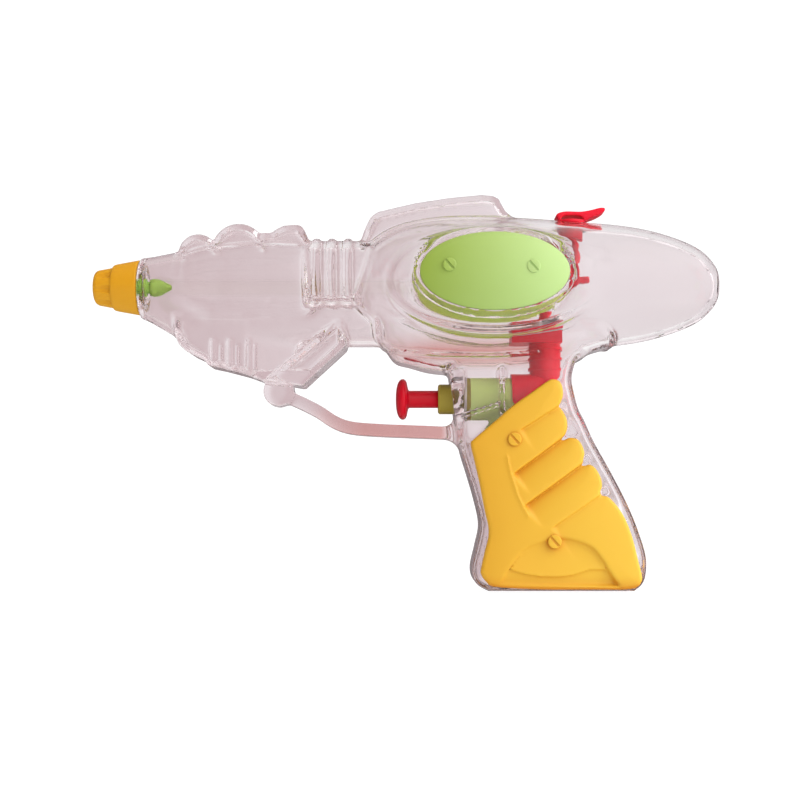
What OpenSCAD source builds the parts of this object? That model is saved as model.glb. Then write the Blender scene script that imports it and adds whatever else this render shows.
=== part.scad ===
// Water squirter: a clear two-piece tank body with a spring-returned trigger pump.
// X runs from the muzzle (-X) to the tail (+X), Y across the toy and Z up.
// The origin is the middle of the grip's flat base.

/* [Clear body] */
// Wall thickness of the clear body
wall = 2; // [1.6:0.1:2.4]
// Largest radius of the egg-shaped tank, seen from the side
tank_r = 23.2; // [22.8:0.1:23.8]
// Half the width of the tank, where its sides are flat
tank_half_w = 20.5; // [19.5:0.5:22]
// Half the width of the belly under the tank
belly_half_w = 14; // [13.5:0.5:16]
// Length of the tail behind the grip's middle
tail_l = 53; // [48:1:60]
// Height of the barrel's axis above the base
axis_z = 100.8; // [99:0.2:103]
// Length of the barrel from the neck to the muzzle
barrel_l = 58.5; // [52:0.5:64]
// Largest radius of the barrel
barrel_r = 13.7; // [13.2:0.1:14.4]
// Radius of the lower tube under the barrel and the neck
lower_r = 8.3; // [8:0.1:8.4]
// Radius of the neck between its ribs
neck_r = 9.9; // [9.7:0.1:10.4]
// How far the neck's ribs stand out
neck_rib_h = 0.7; // [0.4:0.1:0.9]
// Half the width of the ribbed scoop under the barrel
scoop_half_w = 8.5; // [7.5:0.5:10]
// Half the width of the fin on top of the tank
fin_half_w = 4.6; // [4.2:0.2:6]
// Half the width of the three humps on the barrel
hump_half_w = 6.5; // [5.5:0.5:8]
// Radius of the knuckle at the foot of the slanted strut
strut_r = 5; // [4.6:0.1:5.6]
// Half the width of the slanted strut
strut_half_w = 8.9; // [7.5:0.1:9.2]
// Half the width of the trigger guard's bar
guard_half_w = 4.4; // [3.6:0.2:5.4]
// Thickness of the trigger guard's bar
guard_t = 4.2; // [3.6:0.2:4.8]
// Half the width of the grip
grip_half_w = 13; // [12.6:0.2:14.6]

/* [Oval panels] */
// Length of the oval panels
oval_l = 48.2; // [45:0.2:50]
// Height of the oval panels
oval_h = 25.4; // [23:0.2:26.6]
// Width of the clear lip round each oval panel
oval_lip = 1.8; // [1.4:0.1:2.4]
// Depth of the oval seat below the lip
oval_seat = 2.4; // [2:0.1:3]
// How far the crown of an oval panel stands above the lip
oval_crown = 2.6; // [1.8:0.2:3.4]
// Radius of the moulded screw heads
head_r = 2.2; // [1.8:0.1:2.5]
// Width of the slot in a moulded screw head
head_slot = 0.8; // [0.5:0.1:1]

/* [Grip panels] */
// Thickness of the grip panels
grip_panel_t = 3; // [2.6:0.1:3.8]
// Depth of the grip panels' seat in the clear body
grip_seat = 0.6; // [0.4:0.1:0.8]
// Radius of the slanted finger grooves
groove_r = 2.2; // [1.6:0.1:2.6]

/* [Trigger and pump] */
// How far the pump's axis lies below the barrel's axis
pump_drop = 37.8; // [36.8:0.2:38.8]
// Travel of the trigger
stroke = 9.5; // [8:0.25:10]
// Radius of the trigger's button
button_r = 6.8; // [6:0.1:7.2]
// Thickness of the trigger's button
button_t = 4.3; // [3.4:0.1:5]
// Radius of the trigger's rod
rod_r = 2.9; // [2.5:0.1:3.2]
// Radius of the collar that guides the rod
collar_r = 5; // [4.7:0.1:5.4]
// Length of the collar in front of its flange
collar_l = 9.1; // [8.6:0.1:9.6]
// Radius of the pump's bore
bore_r = 5.6; // [5.5:0.05:5.8]
// Wall of the pump's cylinder
cylinder_wall = 1.5; // [1.2:0.1:1.7]
// Length of the piston
piston_l = 4; // [3.4:0.1:4.4]
// Section radius of the piston's seal ring
seal_r = 0.6; // [0.5:0.05:0.7]
// Wire diameter of the return spring
spring_wire = 0.6; // [0.5:0.05:0.65]
// Turns of the return spring
spring_turns = 6; // [5:0.5:6]

/* [Valves and tubes] */
// Radius of the two check balls
ball_r = 2.5; // [2.3:0.1:2.6]
// Travel of the check balls
ball_lift = 1.4; // [1:0.1:1.6]
// Outer radius of the valve block's upright tube
valve_r = 5.2; // [5:0.1:5.6]
// Radius of the tubes' bore
tube_r = 2.1; // [1.8:0.1:2.3]
// Wall of the tubes
tube_wall = 0.8; // [0.6:0.1:0.9]
// Bend radius of the delivery tube
tube_bend = 8; // [7:0.5:8.5]

/* [Filler plug] */
// Where the filler hole sits along the tank
filler_x = 3.2; // [2:0.2:5]
// Radius of the filler plug
plug_r = 4.2; // [3.8:0.1:4.6]
// Length of the plug below the top of the tank
plug_l = 5.4; // [4.6:0.2:6.4]
// Width of the pull tab
tab_w = 7; // [5:0.5:9]
// Length of the foot that keeps the plug on the toy
foot_l = 12.6; // [11.6:0.2:13.4]

/* [Nozzle] */
// Length of the nozzle cap in front of the shells
cap_l = 16; // [14.5:0.5:18]
// Radius of the nozzle cap at its back edge
cap_back_r = 9.4; // [9.2:0.1:10]
// Radius of the nozzle cap's front stage
cap_front_r = 7.3; // [7:0.1:7.6]
// Radius of the outlet in the nozzle cap
outlet_r = 1.2; // [0.8:0.1:1.6]
// Radius of the jet insert
jet_r = 5.3; // [5:0.1:5.5]
// Bore radius of the jet insert
jet_bore_r = 0.7; // [0.5:0.1:1]

/* [Clearances] */
// Gap of pressed and glued pieces, on the radius
press_gap = 0.05; // [0.03:0.01:0.1]
// Gap of sliding pieces, on the radius
slide_gap = 0.06; // [0.03:0.01:0.1]

/* [Hidden] */
$fn = 64;

clear_c = [0.90, 0.84, 0.86, 0.35];
green_c = [0.70, 0.85, 0.45];
olive_c = [0.55, 0.52, 0.22];
yellow_c = [0.95, 0.74, 0.27];
orange_c = [0.87, 0.62, 0.20];
red_c = [0.83, 0.10, 0.18];
rubber_c = [0.86, 0.85, 0.82];
steel_c = [0.72, 0.73, 0.75];
hose_c = [0.93, 0.93, 0.92, 0.6];

// Along the toy
neck_x = -83;
// Longer than any cut has to reach
reach = 400;
muzzle_x = neck_x - barrel_l;
cap_front_x = muzzle_x - cap_l;

// Turned outlines: place along the toy, and the share of the largest radius
tank_line = [[-66.4, 0.13], [-65.6, 0.35], [-62.7, 0.57], [-57, 0.785], [-50, 0.915], [-40, 0.985], [-28, 1],
  [-16, 0.987], [-4, 0.953], [8, 0.914], [20, 0.866], [30, 0.789], [39.6, 0.66], [46, 0.526], [50, 0.371],
  [52.2, 0.216], [53, 0]];
barrel_line = [[-128, 0.66], [-123, 0.83], [-118, 0.905], [-110, 0.965], [-103, 1], [-92, 1], [-87, 0.965],
  [-85, 0.88], [-83.8, 0.74]];
// Heights of the tank, barrel, neck and lower tube, counted from the muzzle's axis
tank_rise = 0.5;
barrel_rise = 2.5;
neck_rise = 4.7;
lower_drop = -11.9;
// Front cone of the barrel, and the place where the slanted nose meets the lower tube
muzzle_r = 9.4;
cone_x = -118;
cone_rise = 2.3;
cone_share = 0.85;
nose_x = -121;
nose_r_extra = 0.2;

// Side outlines, heights counted from the barrel's axis
fin_out = [[-66.2, 8], [-65.8, 17], [-64.3, 21.1], [-62.3, 24.7], [-59.6, 25.8], [-49.2, 28.2], [-37.5, 30],
  [-26.8, 31], [-23, 30.7], [-21, 29.7], [-18.8, 25.5], [-16.8, 23.8], [-14.6, 21.4], [-14.6, 8]];
rear_hump = [[-102.6, 8], [-101.6, 17.7], [-97.2, 17.9], [-95.2, 19.3], [-93.1, 20.3], [-88.8, 20.6],
  [-87.4, 20.3], [-86.3, 19.1], [-84.2, 14.4], [-84.2, 8]];
round_humps = [[-121.4, 11.4, 6], [-108.4, 12.1, 9]];
scoop_out = [[-128.9, -10], [-128.9, -16.7], [-127.3, -20.1], [-125.3, -21.9], [-123.3, -23.2],
  [-119.3, -25.1],
  [-118.4, -25.8], [-117.6, -27], [-113.2, -27.9], [-105.2, -30], [-101.2, -31.5], [-99.4, -32.2],
  [-99.4, -10]];
belly_out = [[-64, -6], [-62.4, -17], [-60.5, -20.4], [-59, -21.4], [-57, -24.2], [-54.9, -25.8],
  [-50.9, -26.8],
  [-42.9, -28.8], [-28, -29.6], [-16, -28.8], [-4, -26.8], [5.4, -24.8], [9.4, -22.4], [13.4, -21.1],
  [17, -19.6],
  [17, -6]];
web_out = [[-101, -10], [-101, -31.2], [-95, -35.2], [-73, -16.3], [-73, -10]];
web_half_w = 3.9;
strut_out = [[-98.6, -31.6], [-74.6, -11.6], [-73.2, -12.4], [-71.8, -19.4], [-72.4, -21], [-86.4, -33.9]];
strut_foot = [-94.6, -35.3];
knuckle_half_w = 5.6;
// The neck, from where it starts inside the barrel, and the end of the lower tube inside the tank
neck_lap = 6;
neck_l = 30;
neck_rib_l = 2.4;
lower_end_x = -52;
neck_ribs = [-83.4, -78.2, -72.8];
scoop_ribs = [-115.7, -110.2, -104.2];
scoop_rib_drop = 22.6;
scoop_rib_t = 1.2;
scoop_rib_h = 8;
scoop_rib_out = 0.7;
// Outline of the grip, from the base round the front edge and back down the rear edge,
// with heights above the base as shares of the axis height, as in all the grip's tables
grip_front = [[-25.5, 0], [-29.4, 0.0238], [-30.8, 0.0694], [-29.2, 0.1438], [-27.9, 0.2133],
  [-29.6, 0.2976], [-31.9, 0.377], [-34.3, 0.4563], [-35.8, 0.5357], [-36.7, 0.6052], [-37.8, 0.6944],
  [-38.4, 0.754]];
grip_back = [[7.2, 0.7758], [3.8, 0.744], [2.2, 0.6944], [2.5, 0.6548], [4.1, 0.5893], [6.2, 0.5466],
  [8.8, 0.4871], [12, 0.4286], [15.2, 0.37], [18.5, 0.3056], [21.8, 0.2312], [23.9, 0.1716], [25.3, 0.124],
  [25.7, 0.0853], [25.2, 0.0427], [23.8, 0.0169], [21.6, 0]];

// Where the grip ends inside the belly
grip_top = [[-34, 0.8333], [4, 0.8333]];

// Middle line of the guard's bar, with heights counted from the muzzle's axis
guard_line = [[-95, -35.8], [-88.2, -38.6], [-81.4, -42], [-76, -45.5], [-70.6, -47.4], [-62, -48.2],
  [-48, -48.8], [-33, -49.4]];
// Rear and front edges of the grip panel
grip_panel_out = [[-31.2, 0.4712], [-30, 0.4881], [-23.3, 0.5446], [-17.9, 0.5913], [-12, 0.6329],
  [-6.7, 0.6706], [-4.6, 0.6796], [-2.6, 0.6746], [-1.5, 0.6577], [-1.2, 0.629], [-1.8, 0.6081],
  [-2.4, 0.5933], [-1.5, 0.5823], [-0.2, 0.5546], [0.1, 0.5278], [-0.5, 0.503], [-1.1, 0.4901],
  [0.7, 0.496], [3, 0.4911], [4.6, 0.4722], [5.5, 0.4435], [5.1, 0.4196], [5.3, 0.4077], [7.5, 0.4097],
  [9.3, 0.3929], [10.7, 0.3641], [11.1, 0.3373], [10.5, 0.3165], [11.1, 0.3075], [13.2, 0.3016],
  [15.8, 0.2738], [18.4, 0.2312], [20.6, 0.1726], [22.4, 0.0982], [23.5, 0.0506], [23.2, 0.0298],
  [21.7, 0.0149], [17.9, 0.0079], [7.2, 0.0079], [-8.8, 0.0079], [-23.3, 0.0159], [-26.4, 0.0317],
  [-28.1, 0.0565], [-28, 0.0774], [-26.8, 0.13], [-25.7, 0.1726], [-25.7, 0.2103], [-26.8, 0.2579],
  [-28.6, 0.3532], [-30.2, 0.4226]];
grip_heads = [[-17.1, 0.4851], [-4.5, 0.1597]];
grip_grooves = [[[-15.3, 0.5119], [-1, 0.6018]], [[-17.4, 0.372], [0.2, 0.5006]],
  [[-13.9, 0.2708], [6.4, 0.4167]], [[-5.1, 0.2014], [12.2, 0.3175]]];

oval_x = -23.5;
oval_rise = 2.1;
oval_z = axis_z + oval_rise;
oval_face_y = tank_half_w + 0.5;
oval_floor_y = oval_face_y - oval_seat;
oval_heads = [[-14.6, 1.6], [12.2, 1]];
// Turn of the slots in the moulded heads
head_turn = -50;

// Pump, from the front wall of the grip to the valve block
pump_z = axis_z - pump_drop;
bulkhead_x = -33.2;
gasket_t = 0.8;
flange_t = 1.6;
collar_front_x = bulkhead_x - collar_l + gasket_t;
button_back_x = collar_front_x - stroke - 0.3;
button_front_x = button_back_x - button_t;
flange_x = bulkhead_x + gasket_t;
cylinder_x = flange_x + flange_t;
collar_end_x = cylinder_x + 3;
cylinder_r = bore_r + cylinder_wall;
piston_x = collar_end_x + 0.1;
piston_end_x = piston_x + piston_l;
spring_solid = (spring_turns + 1) * spring_wire + 0.3;
chamber_x = piston_end_x + stroke + spring_solid;
spring_r = bore_r - spring_wire - 1;
nose_r = rod_r - 1.1;
nose_l = piston_l - 1.4;
saddle_x = -21.5;
saddle_t = 1.6;
// Front wall and saddle, up from a level below the pump's axis
front_wall_drop = 10;
front_wall_h = 19;
saddle_h = 20;

// Valve block
flow_r = ball_r - 0.5;
valve_bands = [9.4, 13, 16.4];
seat_h = sqrt(ball_r * ball_r - flow_r * flow_r) + 0.03;
ball_room = ball_r + 0.75;
valve_x = chamber_x + 2 + flow_r;
socket_r = cylinder_r + press_gap + 1.2;
socket_x = chamber_x - 7.5;
block_rise = 22.8;
block_top_z = pump_z + block_rise;
block_h = 4.4;
outlet_seat_z = block_top_z - 8.8;
inlet_seat_z = pump_z - 10.8;
valve_foot_z = inlet_seat_z - 5.2;
seat_flange_t = 1.2;
inlet_top_z = inlet_seat_z + seat_h + ball_lift + sqrt(ball_r * ball_r - flow_r * flow_r) + 0.1;
plate_z = block_top_z + gasket_t;
plate_t = 1.4;
spigot_z = axis_z - tube_bend - 0.3;
pin_at = ball_r - 0.3;
pin_r = 0.5;
pin_reach = pin_at - pin_r;
pin_z = outlet_seat_z + seat_h + ball_lift + sqrt(ball_r * ball_r - pin_reach * pin_reach) + 0.05;

// Filler
filler_rise = 21.2;
filler_z = axis_z + filler_rise;
boss_r = plug_r + 2.3;
boss_l = plug_l;
foot_t = 2.4;
foot_w = 3;
foot_z = filler_z - 19.8;
// Side outline of the pull tab and of the gap under it, counted from the top of the hole
tab_out = [[-3.4, 0.8], [-4.6, 1.9], [-5, 2.5], [-4.6, 3.2], [-3, 3.9], [-1, 4.1], [3.4, 4], [6.6, 4.5],
  [9.6, 5.2], [11.2, 5.2], [11.6, 4.7], [11, 3.9], [8.6, 2.5], [6.2, 1.6], [4.2, 0.8]];
tab_gap = [[-3, 0.9], [-2.6, 2.3], [-1, 2.7], [2.6, 2.6], [4, 1.9], [4, 0.9]];
pull = filler_z - boss_l - foot_z - foot_t - 0.5;

// Nozzle
spigot_r = jet_r + press_gap + 1.9;
spigot_l = 6.5;
jet_front_x = muzzle_x - cap_l + 5;
washer_t = 0.6;
jet_back_x = muzzle_x + wall;
barb_l = 7;
barb_wall = 0.8;
jet_flange_t = 1.4;
jet_throat = 3;

// A curve through the given points, with equal steps between each pair
function between(a, b, c, d, t) =
  b + 0.5 * t * ((c - a) + t * ((2 * a - 5 * b + 4 * c - d) + t * (3 * (b - c) + d - a)));
function open_curve(p, steps) = [
  for (i = [0:len(p) - 2])
    for (k = [0:steps - 1])
      between(p[max(i - 1, 0)], p[i], p[i + 1], p[min(i + 2, len(p) - 1)], k / steps),
  p[len(p) - 1]
];
function closed_curve(p, steps) = let (n = len(p)) [
  for (i = [0:n - 1])
    for (k = [0:steps - 1])
      between(p[(i + n - 1) % n], p[i], p[(i + 1) % n], p[(i + 2) % n], k / steps)
];

// A solid through a row of sections that all have the same number of points
module loft(rings) {
  n = len(rings[0]);
  m = len(rings);
  polyhedron(
    points = [for (r = rings) each r],
    faces = concat(
      [[for (j = [n - 1:-1:0]) j]],
      [for (i = [0:m - 2]) for (j = [0:n - 1])
        [i * n + j, (i + 1) * n + (j + 1) % n, (i + 1) * n + j]],
      [for (i = [0:m - 2]) for (j = [0:n - 1])
        [i * n + j, i * n + (j + 1) % n, (i + 1) * n + (j + 1) % n]],
      [[for (j = [0:n - 1]) (m - 1) * n + j]]
    ),
    convexity = 10
  );
}

// A plate standing in the X-Z plane, as thick to either side of the middle
module upright(half_w) {
  rotate([90, 0, 0])
    linear_extrude(2 * half_w, center = true)
      children();
}

module along_x(x, z) {
  translate([x, 0, z])
    rotate([0, 90, 0])
      children();
}

// Places behind the grip's middle follow the tail's length, those before the neck the barrel's
function placed(x) = x < neck_x ? neck_x + (x - neck_x) * barrel_l / 58.5 : x > 0 ? x * tail_l / 53 : x;
function placed_all(p) = [for (q = p) [placed(q[0]), q[1]]];

// A turned solid about a line along X, drawn in by an inset
module turned(line, r, z, inset) {
  rows = open_curve(placed_all(line), 2);
  last = len(rows) - 1;
  first_x = rows[0][0];
  tip_r = max(rows[last][1] * r - inset, 0);
  shrink = 1 - 2 * inset / (rows[last][0] - first_x);
  along_x(0, z)
    rotate_extrude()
      polygon(concat(
        [[0, first_x + inset]],
        [for (i = [0:last - 1])
          [max(rows[i][1] * r - inset, 0.4), first_x + inset + (rows[i][0] - first_x) * shrink]],
        [[tip_r, rows[last][0] - inset]],
        tip_r > 0 ? [[0, rows[last][0] - inset]] : []
      ));
}

// What lies within a distance of the middle plane
module within(half_w) {
  intersection() {
    children();
    translate([-reach, -half_w, -reach])
      cube([2 * reach, 2 * half_w, 2 * reach]);
  }
}

// What lies behind a place along the toy
module behind(x) {
  intersection() {
    children();
    translate([x, -reach, -reach])
      cube(2 * reach);
  }
}

module tank(inset) {
  within(tank_half_w - inset)
    turned(tank_line, tank_r, axis_z + tank_rise, inset);
  side_form(belly_out, belly_half_w, inset);
}

// A straight round bar between two points on the middle plane, given from the muzzle's axis
module bar_between(from, to, r1, r2) {
  run = to - from;
  translate([from[0], 0, axis_z + from[1]])
    rotate([0, atan2(run[0], run[1]), 0])
      cylinder(r1 = r1, r2 = r2, h = norm(run));
}

// Barrel: its front cone grows out of the muzzle, which is cut square
module barrel(inset) {
  cone_end = [placed(cone_x), cone_rise];
  start = [muzzle_x, 0] - 0.2 * (cone_end - [muzzle_x, 0]);
  cone_r = barrel_r * cone_share;
  turned(barrel_line, barrel_r, axis_z + barrel_rise, inset);
  behind(muzzle_x + inset)
    bar_between(start, cone_end, muzzle_r - 0.2 * (cone_r - muzzle_r) - inset, cone_r - inset);
}

// Ribbed neck
module neck(inset) {
  along_x(neck_x - neck_lap, axis_z + neck_rise)
    cylinder(r = neck_r - inset, h = neck_l);
  if (inset == 0)
    for (x = neck_ribs)
      along_x(x, axis_z + neck_rise)
        cylinder(r = neck_r + neck_rib_h, h = neck_rib_l);
}

// Lower tube from the muzzle, by a slanted nose, under the barrel and the neck into the tank
module lower_tube(inset) {
  bend = [placed(nose_x), lower_drop];
  start = [muzzle_x, 0] - 0.2 * (bend - [muzzle_x, 0]);
  nose_r = lower_r + nose_r_extra - inset;
  behind(muzzle_x + inset)
    bar_between(start, bend, nose_r, nose_r);
  translate([bend[0], 0, axis_z + bend[1]])
    sphere(r = nose_r);
  along_x(bend[0], axis_z + lower_drop)
    cylinder(r = lower_r - inset, h = lower_end_x - bend[0]);
}

module side_form(out, half_w, inset) {
  translate([0, 0, axis_z])
    upright(half_w - inset)
      offset(delta = -inset)
        polygon(placed_all(out));
}

module humps(inset) {
  for (h = round_humps)
    translate([placed(h[0]), 0, axis_z + h[1]])
      rotate([90, 0, 0])
        cylinder(r = h[2] - inset, h = 2 * (hump_half_w - inset), center = true);
  side_form(rear_hump, hump_half_w, inset);
}

module scoop(inset) {
  side_form(scoop_out, scoop_half_w, inset);
  if (inset == 0)
    for (x = scoop_ribs)
      translate([placed(x), 0, axis_z - scoop_rib_drop])
        cube([scoop_rib_t, 2 * (scoop_half_w + scoop_rib_out), scoop_rib_h], center = true);
}

// Slanted flat strut with its round knuckle
module strut(inset) {
  translate([placed(strut_foot[0]), 0, axis_z + strut_foot[1]])
    upright(knuckle_half_w - inset)
      circle(r = strut_r - inset);
  side_form(strut_out, strut_half_w, inset);
}

// Bar of the trigger guard
module guard() {
  line = open_curve(placed_all(guard_line), 3);
  last = len(line) - 1;
  side = [
    for (i = [0:last])
      let (d = line[min(i + 1, last)] - line[max(i - 1, 0)])
        [-d[1], d[0]] / norm(d)
  ];
  translate([0, 0, axis_z])
    upright(guard_half_w)
      polygon(concat(
        [for (i = [0:last]) line[i] + side[i] * guard_t / 2],
        [for (i = [last:-1:0]) line[i] - side[i] * guard_t / 2]
      ));
}

// Heights of the grip's tables, in millimetres
function grip_z(z) = z * axis_z;
function grip_all(p) = [for (q = p) [q[0], grip_z(q[1])]];

module grip(inset) {
  upright(grip_half_w - inset)
    offset(delta = -inset)
      polygon(concat(
        open_curve(grip_all(grip_front), 2),
        grip_all(grip_top),
        open_curve(grip_all(grip_back), 2)
      ));
}

module grip_panel_shape(grow) {
  offset(delta = grow)
    polygon(closed_curve(grip_all(grip_panel_out), 2));
}

module oval_shape(grow) {
  scale([oval_l / 2 + grow, oval_h / 2 + grow])
    circle(r = 1, $fn = 48);
}

// Raised oval boss on each side of the tank that carries an oval panel
module oval_boss() {
  translate([oval_x, 0, oval_z])
    upright(oval_face_y)
      oval_shape(oval_lip);
}

// What stays solid inside the tank: seats, the front wall round the pump and its saddle
module kept_solid() {
  for (side = [-1, 1])
    translate([oval_x, side * (oval_floor_y - wall + reach), oval_z])
      upright(reach)
        oval_shape(oval_lip);
  translate([bulkhead_x - reach, -reach, pump_z - front_wall_drop])
    cube([reach, 2 * reach, front_wall_h]);
  translate([saddle_x, -reach, pump_z - front_wall_drop])
    cube([saddle_t, 2 * reach, saddle_h]);
  translate([filler_x, 0, filler_z - boss_l])
    cylinder(r = boss_r, h = reach);
}

// The clear wall, both halves together
module clear_wall() {
  difference() {
    union() {
      tank(0);
      barrel(0);
      neck(0);
      lower_tube(0);
      side_form(fin_out, fin_half_w, 0);
      humps(0);
      scoop(0);
      side_form(web_out, web_half_w, 0);
      strut(0);
      guard();
      grip(0);
      oval_boss();
      along_x(muzzle_x - spigot_l, axis_z)
        cylinder(r = spigot_r, h = spigot_l + 1);
    }
    difference() {
      union() {
        tank(wall);
        barrel(wall);
        neck(wall);
        lower_tube(wall);
        side_form(fin_out, fin_half_w, wall);
        humps(wall);
        scoop(wall);
        side_form(web_out, web_half_w, wall);
        strut(wall);
        grip(wall);
      }
      kept_solid();
    }
    for (side = [-1, 1]) {
      translate([oval_x, side * (oval_floor_y + reach), oval_z])
        upright(reach)
          oval_shape(press_gap);
      translate([0, side * (grip_half_w - grip_seat + reach), 0])
        upright(reach)
          grip_panel_shape(press_gap);
    }
    translate([filler_x, 0, filler_z])
      cylinder(r = plug_r + 1.4, h = reach);
  }
}

// The right half of the clear body, cut at the parting plane
module half_shell() {
  difference() {
    intersection() {
      clear_wall();
      translate([-reach, 0, -reach])
        cube([2 * reach, reach, 2 * reach]);
    }
    along_x(bulkhead_x - 10, pump_z)
      cylinder(r = collar_r + press_gap, h = 10.5);
    along_x(saddle_x - 0.5, pump_z)
      cylinder(r = cylinder_r + press_gap, h = 3);
    along_x(muzzle_x - spigot_l - 1, axis_z)
      cylinder(r = jet_r + press_gap, h = spigot_l + wall + 2);
    translate([filler_x, 0, filler_z - boss_l - 1])
      cylinder(r = plug_r + slide_gap, h = boss_l + 2);
  }
}

module left_shell() {
  color(clear_c)
    mirror([0, 1, 0])
      half_shell();
}

module right_shell() {
  color(clear_c)
    half_shell();
}

// Round slotted head moulded on a panel, standing on the X-Y plane
module screw_head(turn) {
  difference() {
    cylinder(r = head_r, h = 2.2);
    translate([0, 0, 2.2])
      rotate([0, 0, turn])
        cube([2 * head_r + 1, head_slot, 1], center = true);
  }
}

// Oval panel seen from its outside: its back lies on the X-Y plane
module oval_panel() {
  edge_h = oval_seat - 0.2;
  crown_h = oval_seat + oval_crown;
  rows = [[1, 0], [1, edge_h], [0.985, edge_h + 0.5], [0.93, edge_h + 1], [0.8, crown_h - 1.1],
    [0.6, crown_h - 0.5], [0.35, crown_h - 0.12], [0.1, crown_h]];
  union() {
    loft([
      for (i = [len(rows) - 1:-1:0])
        let (r = rows[i])
          [for (a = [0:7.5:352.5])
            [(oval_l / 2 - 0.02) * r[0] * cos(a), (oval_h / 2 - 0.02) * r[0] * sin(a), r[1]]]
    ]);
    for (h = oval_heads)
      translate([h[0], h[1], crown_h - 2.4])
        screw_head(head_turn);
  }
}

// Grip panel seen from its outside: its back lies on the X-Y plane
module grip_panel() {
  difference() {
    union() {
      linear_extrude(grip_panel_t - 0.8)
        grip_panel_shape(0);
      linear_extrude(grip_panel_t)
        grip_panel_shape(-0.8);
      for (h = grip_all(grip_heads))
        translate([h[0], h[1], grip_panel_t - 1.8])
          screw_head(head_turn);
    }
    for (g = [for (line = grip_grooves) grip_all(line)])
      translate([g[0][0], g[0][1], grip_panel_t + groove_r - 1])
        rotate([0, 0, atan2(g[1][1] - g[0][1], g[1][0] - g[0][0])])
          rotate([0, 90, 0])
            cylinder(r = groove_r, h = norm(g[1] - g[0]));
  }
}

// Turn a panel from the X-Y plane onto the left or the right side of the toy
module on_left(y) {
  translate([0, -y, 0])
    rotate([90, 0, 0])
      children();
}

module on_right(y) {
  mirror([0, 1, 0])
    on_left(y)
      children();
}

module left_oval_panel() {
  color(green_c)
    translate([oval_x, 0, oval_z])
      on_left(oval_floor_y)
        oval_panel();
}

module right_oval_panel() {
  color(green_c)
    translate([oval_x, 0, oval_z])
      on_right(oval_floor_y)
        oval_panel();
}

module left_grip_panel() {
  color(yellow_c)
    on_left(grip_half_w - grip_seat)
      grip_panel();
}

module right_grip_panel() {
  color(yellow_c)
    on_right(grip_half_w - grip_seat)
      grip_panel();
}

// Stepped nozzle cap pushed over the muzzle
module nozzle_cap() {
  step_x = 6.6;
  color(orange_c)
    along_x(cap_front_x, axis_z)
      difference() {
        rotate_extrude()
          polygon([[outlet_r, 0], [cap_front_r - 2.4, 0], [cap_front_r - 1.5, 0.9],
            [cap_front_r, step_x - 0.3],
            [cap_front_r, step_x], [cap_back_r - 1.2, step_x], [cap_back_r, cap_l - 0.1],
            [spigot_r + press_gap, cap_l - 0.1], [spigot_r + press_gap, cap_l - spigot_l - 0.1],
            [jet_r + press_gap, cap_l - spigot_l - 0.1], [jet_r + press_gap, 5 - washer_t],
            [outlet_r, 5 - washer_t]]);
        for (a = [10:45:325])
          rotate([0, 0, a])
            translate([cap_front_r - 1.35, 0, 0.4])
              rotate([0, 15, 0])
                cylinder(r = 0.45, h = 5.4, $fn = 24);
      }
}

module nozzle_washer() {
  color(rubber_c)
    along_x(jet_front_x - washer_t, axis_z)
      difference() {
        cylinder(r = jet_r - 0.2, h = washer_t);
        translate([0, 0, -1])
          cylinder(r = outlet_r + 0.3, h = washer_t + 2);
      }
}

// Insert that makes the jet, with a barb for the delivery tube
module nozzle_jet() {
  shank_l = jet_back_x - jet_front_x;
  barb_end = shank_l + jet_flange_t + barb_l;
  color(green_c)
    along_x(jet_front_x, axis_z)
      rotate_extrude()
        polygon([[jet_bore_r, 0], [jet_r, 0], [jet_r, shank_l], [tube_r + tube_wall, shank_l],
          [tube_r + tube_wall, shank_l + jet_flange_t], [tube_r - press_gap, shank_l + jet_flange_t],
          [tube_r - press_gap, barb_end], [tube_r - barb_wall, barb_end], [tube_r - barb_wall, jet_throat],
          [jet_bore_r, jet_throat]]);
}

// Soft tube from the valve cap round one bend and along the barrel to the jet
module delivery_tube() {
  outer = tube_r + tube_wall;
  start_x = jet_back_x + jet_flange_t;
  bend_x = valve_x - tube_bend;
  foot = plate_z + plate_t;
  color(hose_c)
    difference() {
      union() {
        along_x(start_x, axis_z)
          cylinder(r = outer, h = bend_x - start_x);
        translate([bend_x, 0, axis_z - tube_bend])
          rotate([90, 0, 0])
            rotate_extrude(angle = 90)
              translate([tube_bend, 0])
                circle(r = outer);
        translate([valve_x, 0, foot])
          cylinder(r = outer, h = axis_z - tube_bend - foot);
      }
      along_x(start_x - 1, axis_z)
        cylinder(r = tube_r, h = bend_x - start_x + 1);
      translate([bend_x, 0, axis_z - tube_bend])
        rotate([90, 0, 0])
          rotate_extrude(angle = 90)
            translate([tube_bend, 0])
              circle(r = tube_r);
      translate([valve_x, 0, foot - 1])
        cylinder(r = tube_r, h = axis_z - tube_bend - foot + 1);
    }
}

// Button and rod pulled by the finger, one moulding
module trigger() {
  color(red_c)
    along_x(button_front_x, pump_z)
      union() {
        rotate_extrude()
          polygon([[0, 0], [button_r - 2.6, 0.3], [button_r - 1.1, 1], [button_r - 0.3, 1.9], [button_r, 2.6],
            [button_r - 0.1, button_t - 0.8], [button_r - 0.8, button_t - 0.2], [button_r - 1.6, button_t],
            [0, button_t]]);
        cylinder(r = rod_r, h = piston_x - button_front_x);
        cylinder(r = nose_r, h = piston_x + nose_l - button_front_x);
      }
}

module piston() {
  color(green_c)
    along_x(piston_x, pump_z)
      difference() {
        cylinder(r = bore_r - 0.12, h = piston_l);
        translate([0, 0, -1])
          cylinder(r = nose_r + press_gap, h = nose_l + 1.05);
        translate([0, 0, piston_l / 2 - seal_r - 0.05])
          difference() {
            cylinder(r = bore_r + 1, h = 2 * seal_r + 0.1);
            translate([0, 0, -1])
              cylinder(r = bore_r - 2 * seal_r - 0.05, h = 4);
          }
      }
}

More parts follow.
